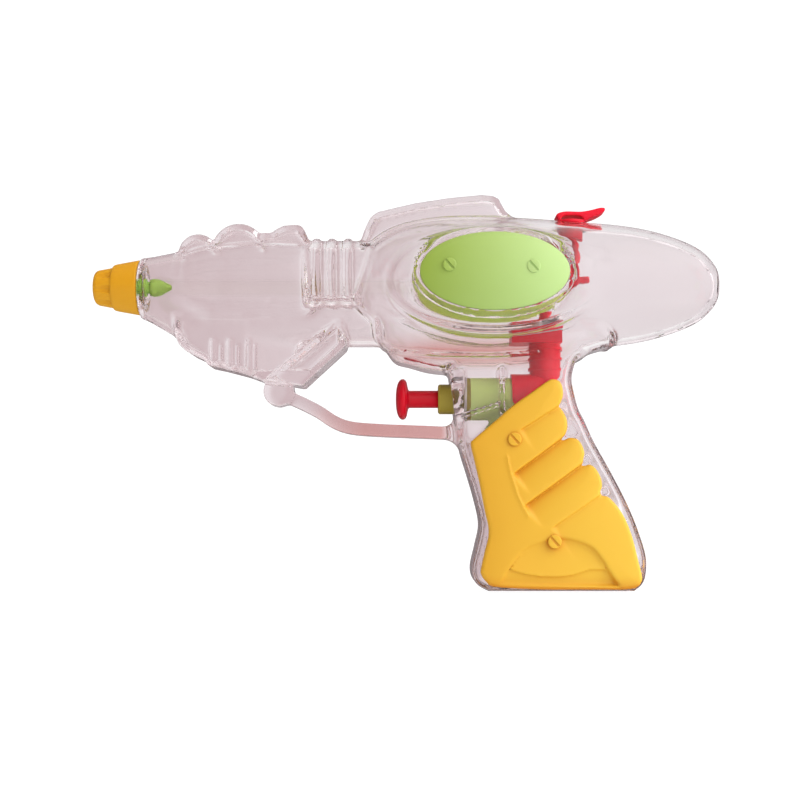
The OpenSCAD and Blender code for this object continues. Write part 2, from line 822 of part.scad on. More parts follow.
module piston_seal() {
  color(rubber_c)
    along_x(piston_x + piston_l / 2, pump_z)
      rotate_extrude()
        translate([bore_r - seal_r - 0.02, 0])
          circle(r = seal_r);
}

// Centre line of the return spring, counted from the piston's back
spring_l = chamber_x - piston_end_x;
spring_points = [
  for (i = [0:spring_turns * 8])
    let (a = 45 * i, run = spring_l - spring_wire - 0.08)
      [spring_wire / 2 + 0.04 + run * i / (spring_turns * 8), spring_r * cos(a), spring_r * sin(a)]
];
spring_gap = min([
  for (i = [0:len(spring_points) - 1])
    for (j = [i + 5:1:len(spring_points) - 1])
      norm(spring_points[i] - spring_points[j])
]) - spring_wire;
echo(spring_least_gap_mm = spring_gap);

module return_spring() {
  rings = [
    for (i = [0:len(spring_points) - 1])
      let (p = spring_points[i], a = 45 * i)
        [for (j = [0:5])
          let (u = spring_wire / 2 * cos(60 * j), v = -spring_wire / 2 * sin(60 * j))
            [piston_end_x + p[0] + u, (spring_r + v) * cos(a), pump_z + (spring_r + v) * sin(a)]]
  ];
  color(steel_c)
    loft(rings);
}

// Guide bush in the grip's front wall
module pump_collar() {
  flange_at = flange_x - collar_front_x;
  end_at = collar_end_x - collar_front_x;
  hole_r = rod_r + slide_gap;
  color(olive_c)
    along_x(collar_front_x, pump_z)
      rotate_extrude()
        polygon([[hole_r, 0], [collar_r - 0.5, 0], [collar_r, 0.5], [collar_r, flange_at],
          [cylinder_r, flange_at],
          [cylinder_r, flange_at + flange_t], [bore_r - press_gap, flange_at + flange_t],
          [bore_r - press_gap, end_at], [hole_r, end_at]]);
}

module collar_gasket() {
  color(rubber_c)
    along_x(bulkhead_x, pump_z)
      difference() {
        cylinder(r = cylinder_r + 0.4, h = gasket_t);
        translate([0, 0, -1])
          cylinder(r = collar_r + press_gap, h = gasket_t + 2);
      }
}

module pump_cylinder() {
  color(green_c)
    along_x(cylinder_x, pump_z)
      difference() {
        cylinder(r = cylinder_r, h = chamber_x - cylinder_x);
        translate([0, 0, -1])
          cylinder(r = bore_r, h = reach);
      }
}

// Valve block: socket for the cylinder, upright tube with two ball chambers, flange on top
module valve_block() {
  color(red_c)
    difference() {
      union() {
        along_x(socket_x, pump_z)
          cylinder(r = socket_r, h = valve_x - socket_x);
        translate([valve_x, 0, valve_foot_z])
          cylinder(r = valve_r, h = block_top_z - valve_foot_z);
        for (z = valve_bands)
          translate([valve_x, 0, pump_z + z])
            cylinder(r = valve_r + 0.5, h = 0.9);
        translate([socket_x, -valve_r - 1, block_top_z - block_h])
          cube([valve_x + valve_r - socket_x, 2 * valve_r + 2, block_h]);
      }
      along_x(socket_x - 1, pump_z)
        cylinder(r = cylinder_r + press_gap, h = chamber_x - socket_x + 1);
      along_x(chamber_x - 1, pump_z)
        cylinder(r = 1.4, h = valve_x - chamber_x + 1);
      translate([valve_x, 0, valve_foot_z - 1])
        cylinder(r = ball_room + 0.75, h = inlet_seat_z - valve_foot_z + 1);
      translate([valve_x, 0, inlet_seat_z - 0.1])
        cylinder(r = ball_room, h = inlet_top_z - inlet_seat_z + 0.1);
      translate([valve_x, 0, inlet_top_z - 0.1])
        cylinder(r = flow_r, h = outlet_seat_z - inlet_top_z + 0.2);
      translate([valve_x, 0, inlet_top_z + 0.4])
        cube([2 * ball_room - 0.4, 1, 1], center = true);
      translate([valve_x, 0, outlet_seat_z])
        cylinder(r = ball_room, h = reach);
    }
}

module flange_plate(z, t, hole_r) {
  difference() {
    translate([socket_x, -valve_r - 1, z])
      cube([valve_x + valve_r - socket_x, 2 * valve_r + 2, t]);
    translate([valve_x, 0, z - 1])
      cylinder(r = hole_r, h = t + 2);
  }
}

module valve_gasket() {
  color(hose_c)
    flange_plate(block_top_z, gasket_t, ball_room);
}

// Lid of the outlet chamber with the delivery tube's spigot and two pins over the ball
module valve_cap() {
  color(red_c)
    union() {
      flange_plate(plate_z, plate_t, tube_r - barb_wall);
      for (side = [-1, 1])
        translate([valve_x, side * pin_at, pin_z])
          cylinder(r = pin_r, h = plate_z - pin_z + 0.5);
      difference() {
        translate([valve_x, 0, plate_z + plate_t - 0.5])
          cylinder(r = tube_r - press_gap, h = spigot_z - plate_z - plate_t + 0.5);
        translate([valve_x, 0, plate_z - 1])
          cylinder(r = tube_r - barb_wall, h = reach);
      }
    }
}

module inlet_seat() {
  top = inlet_seat_z - valve_foot_z;
  plug = ball_room + 0.75 - press_gap;
  color(hose_c)
    translate([valve_x, 0, valve_foot_z])
      rotate_extrude()
        polygon([[tube_r - barb_wall, -barb_l], [tube_r - press_gap, -barb_l],
          [tube_r - press_gap, -seat_flange_t],
          [valve_r, -seat_flange_t], [valve_r, 0], [plug, 0], [plug, top], [flow_r, top], [flow_r, top - 1.6],
          [tube_r - barb_wall, top - 1.6]]);
}

module inlet_ball() {
  color(steel_c)
    translate([valve_x, 0, inlet_seat_z + seat_h])
      sphere(r = ball_r);
}

module outlet_ball() {
  color(steel_c)
    translate([valve_x, 0, outlet_seat_z + seat_h])
      sphere(r = ball_r);
}

// Soft tube hanging from the inlet seat to the floor of the grip
module suction_tube() {
  top = valve_foot_z - seat_flange_t;
  foot = wall + 2.5;
  color(hose_c)
    translate([valve_x, 0, foot])
      difference() {
        cylinder(r = tube_r + tube_wall, h = top - foot);
        translate([0, 0, -1])
          cylinder(r = tube_r, h = top - foot + 2);
      }
}

// Soft stopper with a pull tab above and a foot inside the tank
module filler_plug() {
  plug_foot = filler_z - plug_l;
  color(red_c)
    translate([filler_x, 0, 0])
      union() {
        rotate_extrude()
          polygon([[0, foot_z], [1.2, foot_z], [1.8, plug_foot], [plug_r - 0.5, plug_foot],
            [plug_r, plug_foot + 1.2],
            [plug_r, filler_z], [plug_r + 1, filler_z], [plug_r + 1, filler_z + 1.2], [0, filler_z + 1.2]]);
        translate([-foot_l / 2, -foot_w / 2, foot_z])
          cube([foot_l, foot_w, foot_t]);
        translate([0, 0, filler_z])
          upright(tab_w / 2)
            difference() {
              polygon(tab_out);
              polygon(tab_gap);
            }
      }
}

left_shell();
right_shell();
left_oval_panel();
right_oval_panel();
left_grip_panel();
right_grip_panel();
nozzle_cap();
nozzle_washer();
nozzle_jet();
delivery_tube();
trigger();
piston();
piston_seal();
return_spring();
pump_collar();
collar_gasket();
pump_cylinder();
valve_block();
valve_gasket();
valve_cap();
inlet_seat();
inlet_ball();
outlet_ball();
suction_tube();
filler_plug();
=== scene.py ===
"""Clear toy water squirter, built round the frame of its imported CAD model.

Lengths in the tables are millimetres. X runs from the muzzle (-X) to the tail,
Z is up, and the side that faces the camera is -Y.
"""

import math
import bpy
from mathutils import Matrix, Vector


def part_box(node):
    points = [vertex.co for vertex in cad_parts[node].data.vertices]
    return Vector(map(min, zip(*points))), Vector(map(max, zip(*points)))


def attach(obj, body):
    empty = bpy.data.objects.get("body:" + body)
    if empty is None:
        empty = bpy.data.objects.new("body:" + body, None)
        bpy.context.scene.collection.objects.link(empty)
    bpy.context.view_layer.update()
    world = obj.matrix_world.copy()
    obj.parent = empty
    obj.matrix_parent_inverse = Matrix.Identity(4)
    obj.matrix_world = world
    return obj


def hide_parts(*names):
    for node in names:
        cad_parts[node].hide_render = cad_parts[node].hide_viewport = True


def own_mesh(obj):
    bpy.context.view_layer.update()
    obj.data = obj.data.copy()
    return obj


bl_info = {
    "name": "Water Squirter",
    "version": (1, 0, 0),
    "blender": (4, 5, 0),
    "location": "View3D > Sidebar > Squirter",
    "description": "Builds the visible pieces of a clear toy water squirter round its CAD frame",
    "category": "Add Mesh",
}

import bpy
import numpy as np
from bpy.props import FloatProperty, FloatVectorProperty, PointerProperty

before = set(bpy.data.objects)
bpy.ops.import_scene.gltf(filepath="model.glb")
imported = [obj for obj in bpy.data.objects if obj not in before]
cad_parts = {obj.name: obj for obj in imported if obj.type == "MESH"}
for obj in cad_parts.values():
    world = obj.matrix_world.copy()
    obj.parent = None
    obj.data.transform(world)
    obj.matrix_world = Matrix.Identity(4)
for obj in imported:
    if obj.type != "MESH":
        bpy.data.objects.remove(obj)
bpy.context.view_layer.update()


def node_box(node):
    """Lowest and highest corner of a CAD node, in millimetres."""
    low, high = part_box(node)
    return np.array(low) * 1000, np.array(high) * 1000


# Places that the CAD frame gives, and heights counted from them
CAP_LOW, CAP_HIGH = node_box("nozzle_cap")
AXIS_Z = (CAP_LOW[2] + CAP_HIGH[2]) / 2
MUZZLE_X = CAP_HIGH[0] + 0.1
PUMP_LOW, PUMP_HIGH = node_box("pump_cylinder")
PUMP_Z = (PUMP_LOW[2] + PUMP_HIGH[2]) / 2
SPRING_LOW, SPRING_HIGH = node_box("return_spring")
TRIGGER_LOW, TRIGGER_HIGH = node_box("trigger")
NECK_Z = AXIS_Z + 5.2
FILLER_X = 3.2
FILLER_Z = AXIS_Z + 21.2

# Turned outlines: place along the toy and share of the largest radius
TANK_LINE = [(-70.0, 0.0), (-69.8, 0.16), (-69.0, 0.35), (-65.8, 0.57), (-59.2, 0.785), (-51.2, 0.915),
             (-40.6, 0.985), (-28, 1), (-16, 0.987), (-4, 0.953), (8, 0.914), (20, 0.866), (30, 0.789),
             (39.6, 0.66), (46, 0.526), (50, 0.371), (52.2, 0.216), (53, 0)]
BARREL_LINE = [(-128, 0.66), (-123, 0.83), (-118, 0.905), (-110, 0.965), (-103, 1), (-92, 1), (-87, 0.965),
               (-85, 0.88), (-83.8, 0.74)]
# Side outlines, with heights counted from the muzzle's axis
FIN = [(-67.6, 8), (-67.4, 15.4), (-65.8, 20.0), (-64.0, 23.6), (-61.8, 25.2), (-59.0, 25.9), (-49.2, 28.2),
       (-37.5, 30), (-26.8, 31), (-23, 30.7), (-21, 29.7), (-18.8, 25.5), (-16.8, 23.8), (-14.6, 21.4),
       (-14.6, 8)]
REAR_HUMP = [(-102.6, 8), (-101.6, 17.7), (-97.2, 17.9), (-95.2, 19.3), (-93.1, 20.3), (-88.8, 20.6),
             (-87.4, 20.3), (-86.3, 19.1), (-84.2, 14.4), (-84.2, 8)]
# Round humps on the barrel: place, height of their middle and radius
ROUND_HUMPS = [(-121.8, 11.0, 6.5), (-108.2, 12.0, 9)]
SCOOP = [(-128.9, -10), (-128.9, -16.7), (-127.3, -20.1), (-125.3, -21.9), (-123.3, -23.2), (-119.3, -25.1),
         (-118.4, -25.8), (-117.6, -27), (-113.2, -27.9), (-105.2, -30), (-101.2, -31.5), (-99.4, -32.2),
         (-95.4, -34.2), (-88, -27), (-84, -10)]
BELLY = [(-64, -6), (-62.4, -17), (-60.5, -20.4), (-59, -21.4), (-57, -24.2), (-54.9, -25.8), (-50.9, -26.8),
         (-42.9, -28.8), (-28, -29.6), (-16, -28.8), (-4, -26.8), (5.4, -24.8), (9.4, -22.4), (13.4, -21.1),
         (17, -19.6), (17, -6)]
BELLY_LEDGE = [(-57, -22.2), (-40, -23.6), (-24, -23.9), (-9, -22.8), (-9, -23.9), (-24, -25.1), (-40, -24.8),
               (-57, -23.4)]
STRUT = [(-98.6, -31.6), (-74.6, -11.6), (-73.2, -12.4), (-71.8, -19.4), (-72.4, -21.0), (-86.4, -33.9)]
WEB = [(-101, -10), (-101, -31.2), (-95, -35.2), (-73, -16.3), (-73, -10)]
GUARD_LINE = [(-95, -35.8), (-88.2, -38.6), (-81.4, -42), (-76, -45.5), (-70.6, -47.4), (-62, -48.2),
              (-48, -48.8), (-33, -49.4)]
NECK_RIBS = [-83.4, -78.2, -72.8]
# Ribs on the scoop: place and height of their foot
SCOOP_RIBS = [(-115.7, -25.4), (-110.2, -27.2), (-104.2, -28.6)]
# Side outlines of the grip, with heights above its base
GRIP_FRONT = [(-25.5, 0), (-29.4, 2.4), (-30.8, 7), (-29.2, 14.5), (-27.9, 21.5), (-29.6, 30), (-31.9, 38),
              (-34.3, 46), (-35.8, 54), (-36.7, 61), (-37.8, 70), (-38.4, 76)]
GRIP_BACK = [(7.2, 78.2), (3.8, 75), (2.2, 70), (2.5, 66), (4.1, 59.4), (6.2, 55.1), (8.8, 49.1), (12, 43.2),
             (15.2, 37.3), (18.5, 30.8), (21.8, 23.3), (23.9, 17.3), (25.3, 12.5), (25.7, 8.6), (25.2, 4.3),
             (23.8, 1.7), (21.6, 0)]
GRIP_PANEL = [(-31.2, 47.5), (-30, 49.2), (-23.3, 54.9), (-17.9, 59.6), (-12, 63.8), (-6.7, 67.6),
              (-4.6, 68.5), (-2.6, 68), (-1.5, 66.3), (-1.2, 63.4), (-1.8, 61.3), (-2.4, 59.8),
              (-1.5, 58.7), (-0.2, 55.9), (0.1, 53.2), (-0.5, 50.7), (-1.1, 49.4), (0.7, 50), (3, 49.5),
              (4.6, 47.6), (5.5, 44.7), (5.1, 42.3), (5.3, 41.1), (7.5, 41.3), (9.3, 39.6), (10.7, 36.7),
              (11.1, 34), (10.5, 31.9), (11.1, 31), (13.2, 30.4), (15.8, 27.6), (18.4, 23.3), (20.6, 17.4),
              (22.4, 9.9), (23.5, 5.1), (23.2, 3), (21.7, 1.5), (17.9, 0.8), (7.2, 0.8), (-8.8, 0.8),
              (-23.3, 1.6), (-26.4, 3.2), (-28.1, 5.7), (-28, 7.8), (-26.8, 13.1), (-25.7, 17.4),
              (-25.7, 21.2), (-26.8, 26), (-28.6, 35.6), (-30.2, 42.6)]
# Steps between the finger ridges of the grip panel, from their left ends to the lobes
FINGER_STEPS = [((-15.3, 51.6), (-2.2, 59.9)), ((-17.4, 37.5), (-1.1, 49.5)), ((-13.9, 27.3), (5.3, 41.2)),
                ((-5.1, 20.3), (11.2, 31.3)), ((6.0, 8.6), (20.0, 18.2))]
STEP_SHARES = [0.5, 1.0, 1.0, 0.4]
RIDGE_END = [(-19.2, 43.2), (-18.3, 38.6), (-15.7, 30.3), (-12.6, 24.4)]
PALM_ARCH = [(-21.7, 2.7), (-17.4, 9.9), (-13.6, 13.7), (-8.8, 15.7), (-3.5, 16.9), (1.9, 16.4), (7.2, 14.2),
             (10.4, 10.4), (13.0, 6.2), (15.7, 2.1)]
PALM_LINE = [(-19.0, 7.3), (-14.2, 5.9), (-8.8, 5.1), (-3.5, 5.0), (1.9, 5.7), (6.7, 7.3)]
GRIP_HEADS = [(-17.1, 48.9), (-4.5, 16.1)]
OVAL_X, OVAL_Z = -23.5, AXIS_Z + 2.1
OVAL_HEADS = [(-14.6, 1.6), (12.2, 1.0)]
# Bosses under the oval panels: half sizes at the face, how much wider the foot is, and the face's place
BOSS_HALF, BOSS_FLARE, BOSS_FACE = (26, 14.4), (8.7, 3.5), 21
# Distance of the seats' floors and of the panels' inner faces from the middle plane
OVAL_FLOOR, OVAL_INNER = 18.6, 18.65
GRIP_FLOOR, GRIP_INNER, GRIP_FACE = 12.4, 12.45, 15.4
# Bores along the toy for collar, cylinder and jet: ends, height and radius
JET_BORE_R = 5.36
BORES = [(-60, -32.9, PUMP_Z, 5.06), (-22, -19, PUMP_Z, 7.16),
         (MUZZLE_X - 10, MUZZLE_X + 4, AXIS_Z, JET_BORE_R)]
# Steps of the filler hole: where they start and their radius
FILLER_STEPS = [(FILLER_Z, 5.6), (FILLER_Z - 20, 4.26)]
# Boxes in which the body and a grip panel are measured
BODY_BOX = (-150.6, -23.1, -2.0), (55.2, 1.4, 134.4)
PANEL_BOX = (-33.2, -17.0, -0.6), (26.4, -11.6, 71.6)
# Each half ends this far short of the middle plane, so that the halves don't share a face
HALF_GAP = 0.01
# Where the clear plastic is tinted, and along the belly where the tint is a painted shade:
# axis, where the tint starts, where it is full, and how strong it is there
GUARD_TINT = [("X", -88, -66, 1), ("X", -36.5, -40.5, 1), ("Z", 62, 58, 1)]
BELLY_PAINTED_SHADE = [("Z", 73.5, 78, 1), ("Z", 85, 78.5, 1), ("X", -66, -42, 1.3), ("X", 4, -14, 1)]
# Middle of the picture
AIM_X, AIM_Z = -54.2, 62.8


def to_linear(code):
    """Linear colour of an sRGB hex code."""
    shares = [int(code[i:i + 2], 16) / 255 for i in (1, 3, 5)]
    return tuple(c / 12.92 if c <= 0.04045 else ((c + 0.055) / 1.055) ** 2.4 for c in shares)


def a_number(name, description, default, low, high, unit="NONE"):
    """A setting with its range."""
    return FloatProperty(name=name, description=description, default=default, min=low, max=high, unit=unit)


def a_length(name, description, default, low, high):
    """A size in metres with its range."""
    return a_number(name, description, default, low, high, "LENGTH")


def a_colour(name, description, code):
    """A colour, given as a hex code."""
    return FloatVectorProperty(name=name, description=description, default=to_linear(code), subtype="COLOR",
                               size=3, min=0, max=1)


class SquirterBody(bpy.types.PropertyGroup):
    """Sizes of the clear body."""

    wall: a_length("Wall", "Thickness of the clear wall", 0.002, 0.0016, 0.0026)
    tank_r: a_length("Tank radius", "Largest radius of the egg-shaped tank", 0.0232, 0.022, 0.0245)
    tank_half_w: a_length("Tank half width", "Half the width of the tank", 0.0205, 0.019, 0.022)
    barrel_r: a_length("Barrel radius", "Largest radius of the barrel", 0.0137, 0.013, 0.0145)
    lower_r: a_length("Lower tube radius", "Radius of the tube under barrel and neck", 0.0083, 0.0078, 0.0088)
    neck_r: a_length("Neck radius", "Radius of the neck between its ribs", 0.0105, 0.0095, 0.011)
    guard_t: a_length("Guard thickness", "Thickness of the trigger guard's bar", 0.0042, 0.0036, 0.005)
    grip_edge: a_length("Grip edge", "Radius of the grip's rounded edges", 0.004, 0.002, 0.006)
    mesh_step: a_length("Mesh step", "Spacing of the points that the body is measured on",
                        0.0007, 0.0005, 0.0015)


class SquirterTrim(bpy.types.PropertyGroup):
    """Sizes of the panels, their heads and the plug's tab."""

    oval_l: a_length("Oval length", "Length of an oval panel", 0.04816, 0.045, 0.05)
    oval_h: a_length("Oval height", "Height of an oval panel", 0.02536, 0.023, 0.027)
    oval_crown: a_length("Oval crown", "How far an oval panel bulges above its edge", 0.0034, 0.0015, 0.0038)
    finger_step: a_length("Finger step", "Depth of the steps between the finger ridges",
                          0.0021, 0.0004, 0.0024)
    head_r: a_length("Head radius", "Radius of the moulded screw heads", 0.0022, 0.0016, 0.0026)
    tab_half_w: a_length("Tab half width", "Half the width of the filler plug's pull tab",
                         0.0035, 0.0025, 0.0045)


class SquirterColours(bpy.types.PropertyGroup):
    """Colours of the plastics."""

    clear: a_colour("Clear", "Tint of the clear plastic", "#FEFCFC")
    # Along the belly this colour is a painted shade
    clear_bar: a_colour("Clear bar", "Tint of the clear plastic where it is thick", "#F6DDDA")
    green: a_colour("Green", "Colour of the oval panels", "#B6D68C")
    yellow: a_colour("Yellow", "Colour of the grip panels", "#E3B83A")
    orange: a_colour("Orange", "Colour of the nozzle cap", "#D89C16")
    red: a_colour("Red", "Colour of the trigger", "#CC0420")


class SquirterStage(bpy.types.PropertyGroup):
    """Camera and light."""

    distance: a_length("Camera distance", "Distance of the camera from the middle plane", 0.44, 0.3, 2)
    drop: a_length("Camera drop", "How far the camera stands below the middle of the picture",
                   0.0338, -0.2, 0.2)
    side: a_length("Camera side", "How far the camera stands to the right of the middle", 0.0042, -0.2, 0.2)
    lens: a_number("Lens", "Focal length of the camera in millimetres", 59.32, 30, 200, "CAMERA")
    key: a_number("Window light", "Brightness of the soft light from the right", 5.3, 0, 20)
    shade: a_number("Room behind", "Brightness of the room behind the camera", 0.55, 0, 2)
    room: a_colour("Room", "Colour of the room that shows through the clear plastic", "#E9E2E5")
    room_left: a_colour("Room on the left", "How the room darkens to the left", "#E4D6D7")
    mirror: a_number(
        "Mirrored room", "Share of the room that the surfaces mirror, as through a polarising filter",
        0.25, 0, 1)
    seen: a_number("Window seen", "Brightness of the window where it is seen through the plastic", 1.6, 0, 20)
    fill: a_number(
        "Fill light seen", "Brightness of the room behind the camera where it is seen through the plastic",
        1.15, 0, 4)
    paper: a_number("Paper glow", "Light that the white paper sends back by itself", 0.97, 0, 2)


def curve_through(points, steps, closed=False):
    """A smooth line through points, with equal steps between each pair."""
    p = np.array(points, float)
    if closed:
        a, b, c, d = (np.roll(p, k, 0)[:, None] for k in (1, 0, -1, -2))
    else:
        i = np.arange(len(p) - 1)
        a, b = p[np.maximum(i - 1, 0)][:, None], p[i][:, None]
        c, d = p[i + 1][:, None], p[np.minimum(i + 2, len(p) - 1)][:, None]
    t = (np.arange(steps) / steps)[None, :, None]
    rows = b + 0.5 * t * ((c - a) + t * ((2 * a - 5 * b + 4 * c - d) + t * (3 * (b - c) + d - a)))
    rows = rows.reshape(-1, p.shape[1])
    return rows if closed else np.vstack([rows, p[-1:]])


class Field:
    """Points on a fixed step in a box, on which a shape's signed distance is measured."""

    def __init__(self, low, high, step):
        self.low, self.step = np.array(low, float), step
        self.xs, self.ys, self.zs = (np.arange(a, b + step, step) for a, b in zip(low, high))
        self.x = self.xs.astype(np.float32)[:, None, None]
        self.y = self.ys.astype(np.float32)[None, :, None]
        self.z = self.zs.astype(np.float32)[None, None, :]


def line_distance(points, xs, zs, closed):
    """Distance of every x, z pair from a line of points; inside a closed one it is negative."""
    p = np.array(points, float)
    q = np.roll(p, -1, 0) if closed else p[1:]
    x, z = xs[:, None], zs[None, :]
    least = np.full((len(xs), len(zs)), 1e12)
    inside = np.zeros(least.shape, bool)
    for (ax, az), (bx, bz) in zip(p, q):
        ex, ez = bx - ax, bz - az
        t = np.clip(((x - ax) * ex + (z - az) * ez) / (ex * ex + ez * ez + 1e-12), 0, 1)
        least = np.minimum(least, (x - ax - t * ex) ** 2 + (z - az - t * ez) ** 2)
        if closed and az != bz:
            inside ^= ((az > z) != (bz > z)) & (x < ax + (z - az) * ex / ez)
    return np.where(inside, -1, 1) * np.sqrt(least)


def rounded(p, q, edge):
    """Two limits that meet in a rounded edge."""
    p, q = p + edge, q + edge
    return np.minimum(np.maximum(p, q), 0) + np.hypot(np.maximum(p, 0), np.maximum(q, 0)) - edge


def join(a, b, blend):
    """Union with a moulded fillet."""
    h = np.clip(0.5 + 0.5 * (b - a) / blend, 0, 1)
    return b + (a - b) * h - blend * h * (1 - h)


def cut(a, b):
    """What is in a and not in b."""
    return np.maximum(a, -b)


def side_distance(field, points, closed=True):
    """Distance from a side outline, the same all the way across the toy."""
    return line_distance(points, field.xs, field.zs, closed).astype(np.float32)[:, None, :]


def plate(field, points, half_w, edge):
    """A side outline, as thick to either side of the middle plane, with rounded edges."""
    return rounded(side_distance(field, points), np.abs(field.y) - half_w, edge)


def oval_distance(dx, dz, half_x, half_z):
    """About how far a place lies outside an oval."""
    ratio = np.sqrt((dx / half_x) ** 2 + (dz / half_z) ** 2)
    return ratio * (ratio - 1) / np.maximum(np.hypot(dx / half_x ** 2, dz / half_z ** 2), 1e-3)


def turned(field, line, z, squash=1.0):
    """A form turned about a line along X, pressed flatter across the toy."""
    rows = np.array(line)
    outline = np.vstack([rows, rows[::-1] * (1, -1)])
    spacing = 0.25
    radii = np.arange(0, 160, spacing)
    table = line_distance(outline, field.xs, radii, True).astype(np.float32)
    place = np.hypot(field.y / squash, field.z - z)[0] / spacing
    index = np.minimum(place.astype(int), len(radii) - 2)
    share = (place - index)[None]
    return table[:, index] * (1 - share) + table[:, index + 1] * share


def rod(field, a, b, ra, rb):
    """A round bar between two points of the middle plane, with ball ends."""
    ex, ez = b[0] - a[0], b[1] - a[1]
    t = np.clip(((field.x - a[0]) * ex + (field.z - a[1]) * ez) / (ex * ex + ez * ez), 0, 1)
    flat = (field.x - a[0] - t * ex) ** 2 + (field.z - a[1] - t * ez) ** 2
    return np.sqrt(flat + field.y ** 2) - (ra + (rb - ra) * t)


def drum_x(field, x0, x1, z, r, edge):
    """A round drum along the toy."""
    return rounded(np.hypot(field.y, field.z - z) - r, np.maximum(x0 - field.x, field.x - x1), edge)


def drum_z(field, x, z0, z1, r, edge, y=0.0):
    """An upright round drum."""
    return rounded(np.hypot(field.x - x, field.y - y) - r, np.maximum(z0 - field.z, field.z - z1), edge)


def drum_y(field, x, z, r, half_w, edge):
    """A round drum across the toy."""
    return rounded(np.hypot(field.x - x, field.z - z) - r, np.abs(field.y) - half_w, edge)


def block(field, low, high, edge=0.0):
    """A box with rounded edges."""
    gaps = [np.maximum(a - p, p - b) for p, a, b in zip((field.x, field.y, field.z), low, high)]
    return rounded(rounded(gaps[0], gaps[1], edge), gaps[2], edge)


def sampled(field, values, points):
    """Value and slope of a measured shape at points."""
    place = (points - field.low) / field.step
    cell = np.clip(np.floor(place).astype(int), 0, np.array(values.shape) - 2)
    f = place - cell
    u, v, w = f.T
    value, slope = 0, [0, 0, 0]
    for i, (a, da) in enumerate(((1 - u, -1), (u, 1))):
        for j, (b, db) in enumerate(((1 - v, -1), (v, 1))):
            for k, (d, dd) in enumerate(((1 - w, -1), (w, 1))):
                corner = values[cell[:, 0] + i, cell[:, 1] + j, cell[:, 2] + k]
                value = value + corner * a * b * d
                slope[0] = slope[0] + corner * da * b * d
                slope[1] = slope[1] + corner * a * db * d
                slope[2] = slope[2] + corner * a * b * dd
    return value, np.stack(slope, 1) / field.step


def skin(field, values, rounds=4):
    """Points and quads of the surface where a measured shape is zero."""
    inside = values < 0
    shape = np.array(values.shape) - 1
    count = sum(inside[i:i + shape[0], j:j + shape[1], k:k + shape[2]].astype(np.int8)
                for i in (0, 1) for j in (0, 1) for k in (0, 1))
    active = (count > 0) & (count < 8)
    cells = np.argwhere(active)
    number = np.full(active.shape, -1, np.int64)
    number[active] = np.arange(len(cells))
    corner = np.array([(i, j, k) for i in (0, 1) for j in (0, 1) for k in (0, 1)])
    at = np.stack([values[tuple((cells + c).T)] for c in corner], 1)
    total, hits = np.zeros((len(cells), 3)), np.zeros(len(cells))
    for a in range(8):
        for b in range(a + 1, 8):
            if abs(corner[a] - corner[b]).sum() == 1:
                crossed = (at[:, a] < 0) != (at[:, b] < 0)
                t = np.where(crossed, at[:, a] / np.where(crossed, at[:, a] - at[:, b], 1), 0)
                total += (corner[a] + t[:, None] * (corner[b] - corner[a])) * crossed[:, None]
                hits += crossed
    points = field.low + (cells + total / hits[:, None]) * field.step
    quads = []
    for axis in range(3):
        pair = [(axis + 1) % 3, (axis + 2) % 3]
        one, two = np.eye(3, dtype=int)[pair]
        lower = inside.take(range(inside.shape[axis] - 1), axis)
        edges = np.argwhere(lower != inside.take(range(1, inside.shape[axis]), axis))
        others = edges[:, pair]
        edges = edges[((others > 0) & (others < np.array(inside.shape)[pair] - 1)).all(1)]
        quad = np.stack([number[tuple((edges - s).T)] for s in (one + two, two, 0 * one, one)], 1)
        outward = inside[tuple(edges.T)]
        quads.append(np.where(outward[:, None], quad, quad[:, ::-1]))
    quads = np.vstack(quads)
    pairs = np.vstack([quads[:, [i, (i + 1) % 4]] for i in range(4)])
    degree = np.maximum(np.bincount(pairs[:, 0], minlength=len(points)), 1)
    for _ in range(rounds):
        mean = np.stack([np.bincount(pairs[:, 0], points[pairs[:, 1], k], len(points)) for k in range(3)], 1)
        points = points + 0.5 * (mean / degree[:, None] - points)
        for _ in range(2):
            value, slope = sampled(field, values, points)
            move = value[:, None] * slope / np.maximum((slope ** 2).sum(1), 0.05)[:, None]
            points = points - np.clip(move, -0.5 * field.step, 0.5 * field.step)
    return points, quads


def ring_quads(rows, turns, closed=False):
    """Quads between rows of points that each make a ring."""
    i, j = np.meshgrid(np.arange(rows if closed else rows - 1), np.arange(turns), indexing="ij")
    row, beside = (i + 1) % rows * turns, (j + 1) % turns
    return np.stack([i * turns + j, i * turns + beside, row + beside, row + j], -1).reshape(-1, 4)


def lathe(profile, turns=72):
    """Points and quads of a profile of (along, radius) pairs turned about the X axis."""
    rows = np.array(profile, float)
    angle = np.arange(turns) * 2 * math.pi / turns
    points = np.stack([np.repeat(rows[:, 0], turns), np.outer(rows[:, 1], np.cos(angle)).ravel(),
                       np.outer(rows[:, 1], np.sin(angle)).ravel()], 1)
    return points, ring_quads(len(rows), turns, True)


def merged(parts):
    """Several sets of points and quads as one."""
    points, quads, start = [], [], 0
    for p, q in parts:
        points.append(p)
        quads.append(q + start)
        start += len(p)
    return np.vstack(points), np.vstack(quads)


def add_piece(name, points, quads, material, body, node, slot, sharp=None):
    """A mesh in the frame that moves with a body and stands for a CAD node."""
    mesh = bpy.data.meshes.new(name)
    mesh.from_pydata((points * 0.001).tolist(), [], quads.tolist())
    mesh.validate()
    mesh.shade_smooth()
    if sharp:
        mesh.set_sharp_from_angle(angle=math.radians(sharp))
    mesh.materials.append(material)
    piece = bpy.data.objects.new(name, mesh)
    bpy.context.scene.collection.objects.link(piece)
    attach(piece, body)
    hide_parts(node)
    return piece


def add_pair(name, points, quads, material, node, slot, sharp):
    """The left one of two like pieces and its mirror image on the other side of the toy."""
    sides = {"left": (points, quads), "right": (points * (1, -1, 1), quads[:, ::-1])}
    return [add_piece(name.format(side), *half, material, "body", node.format(side), slot, sharp)
            for side, half in sides.items()]


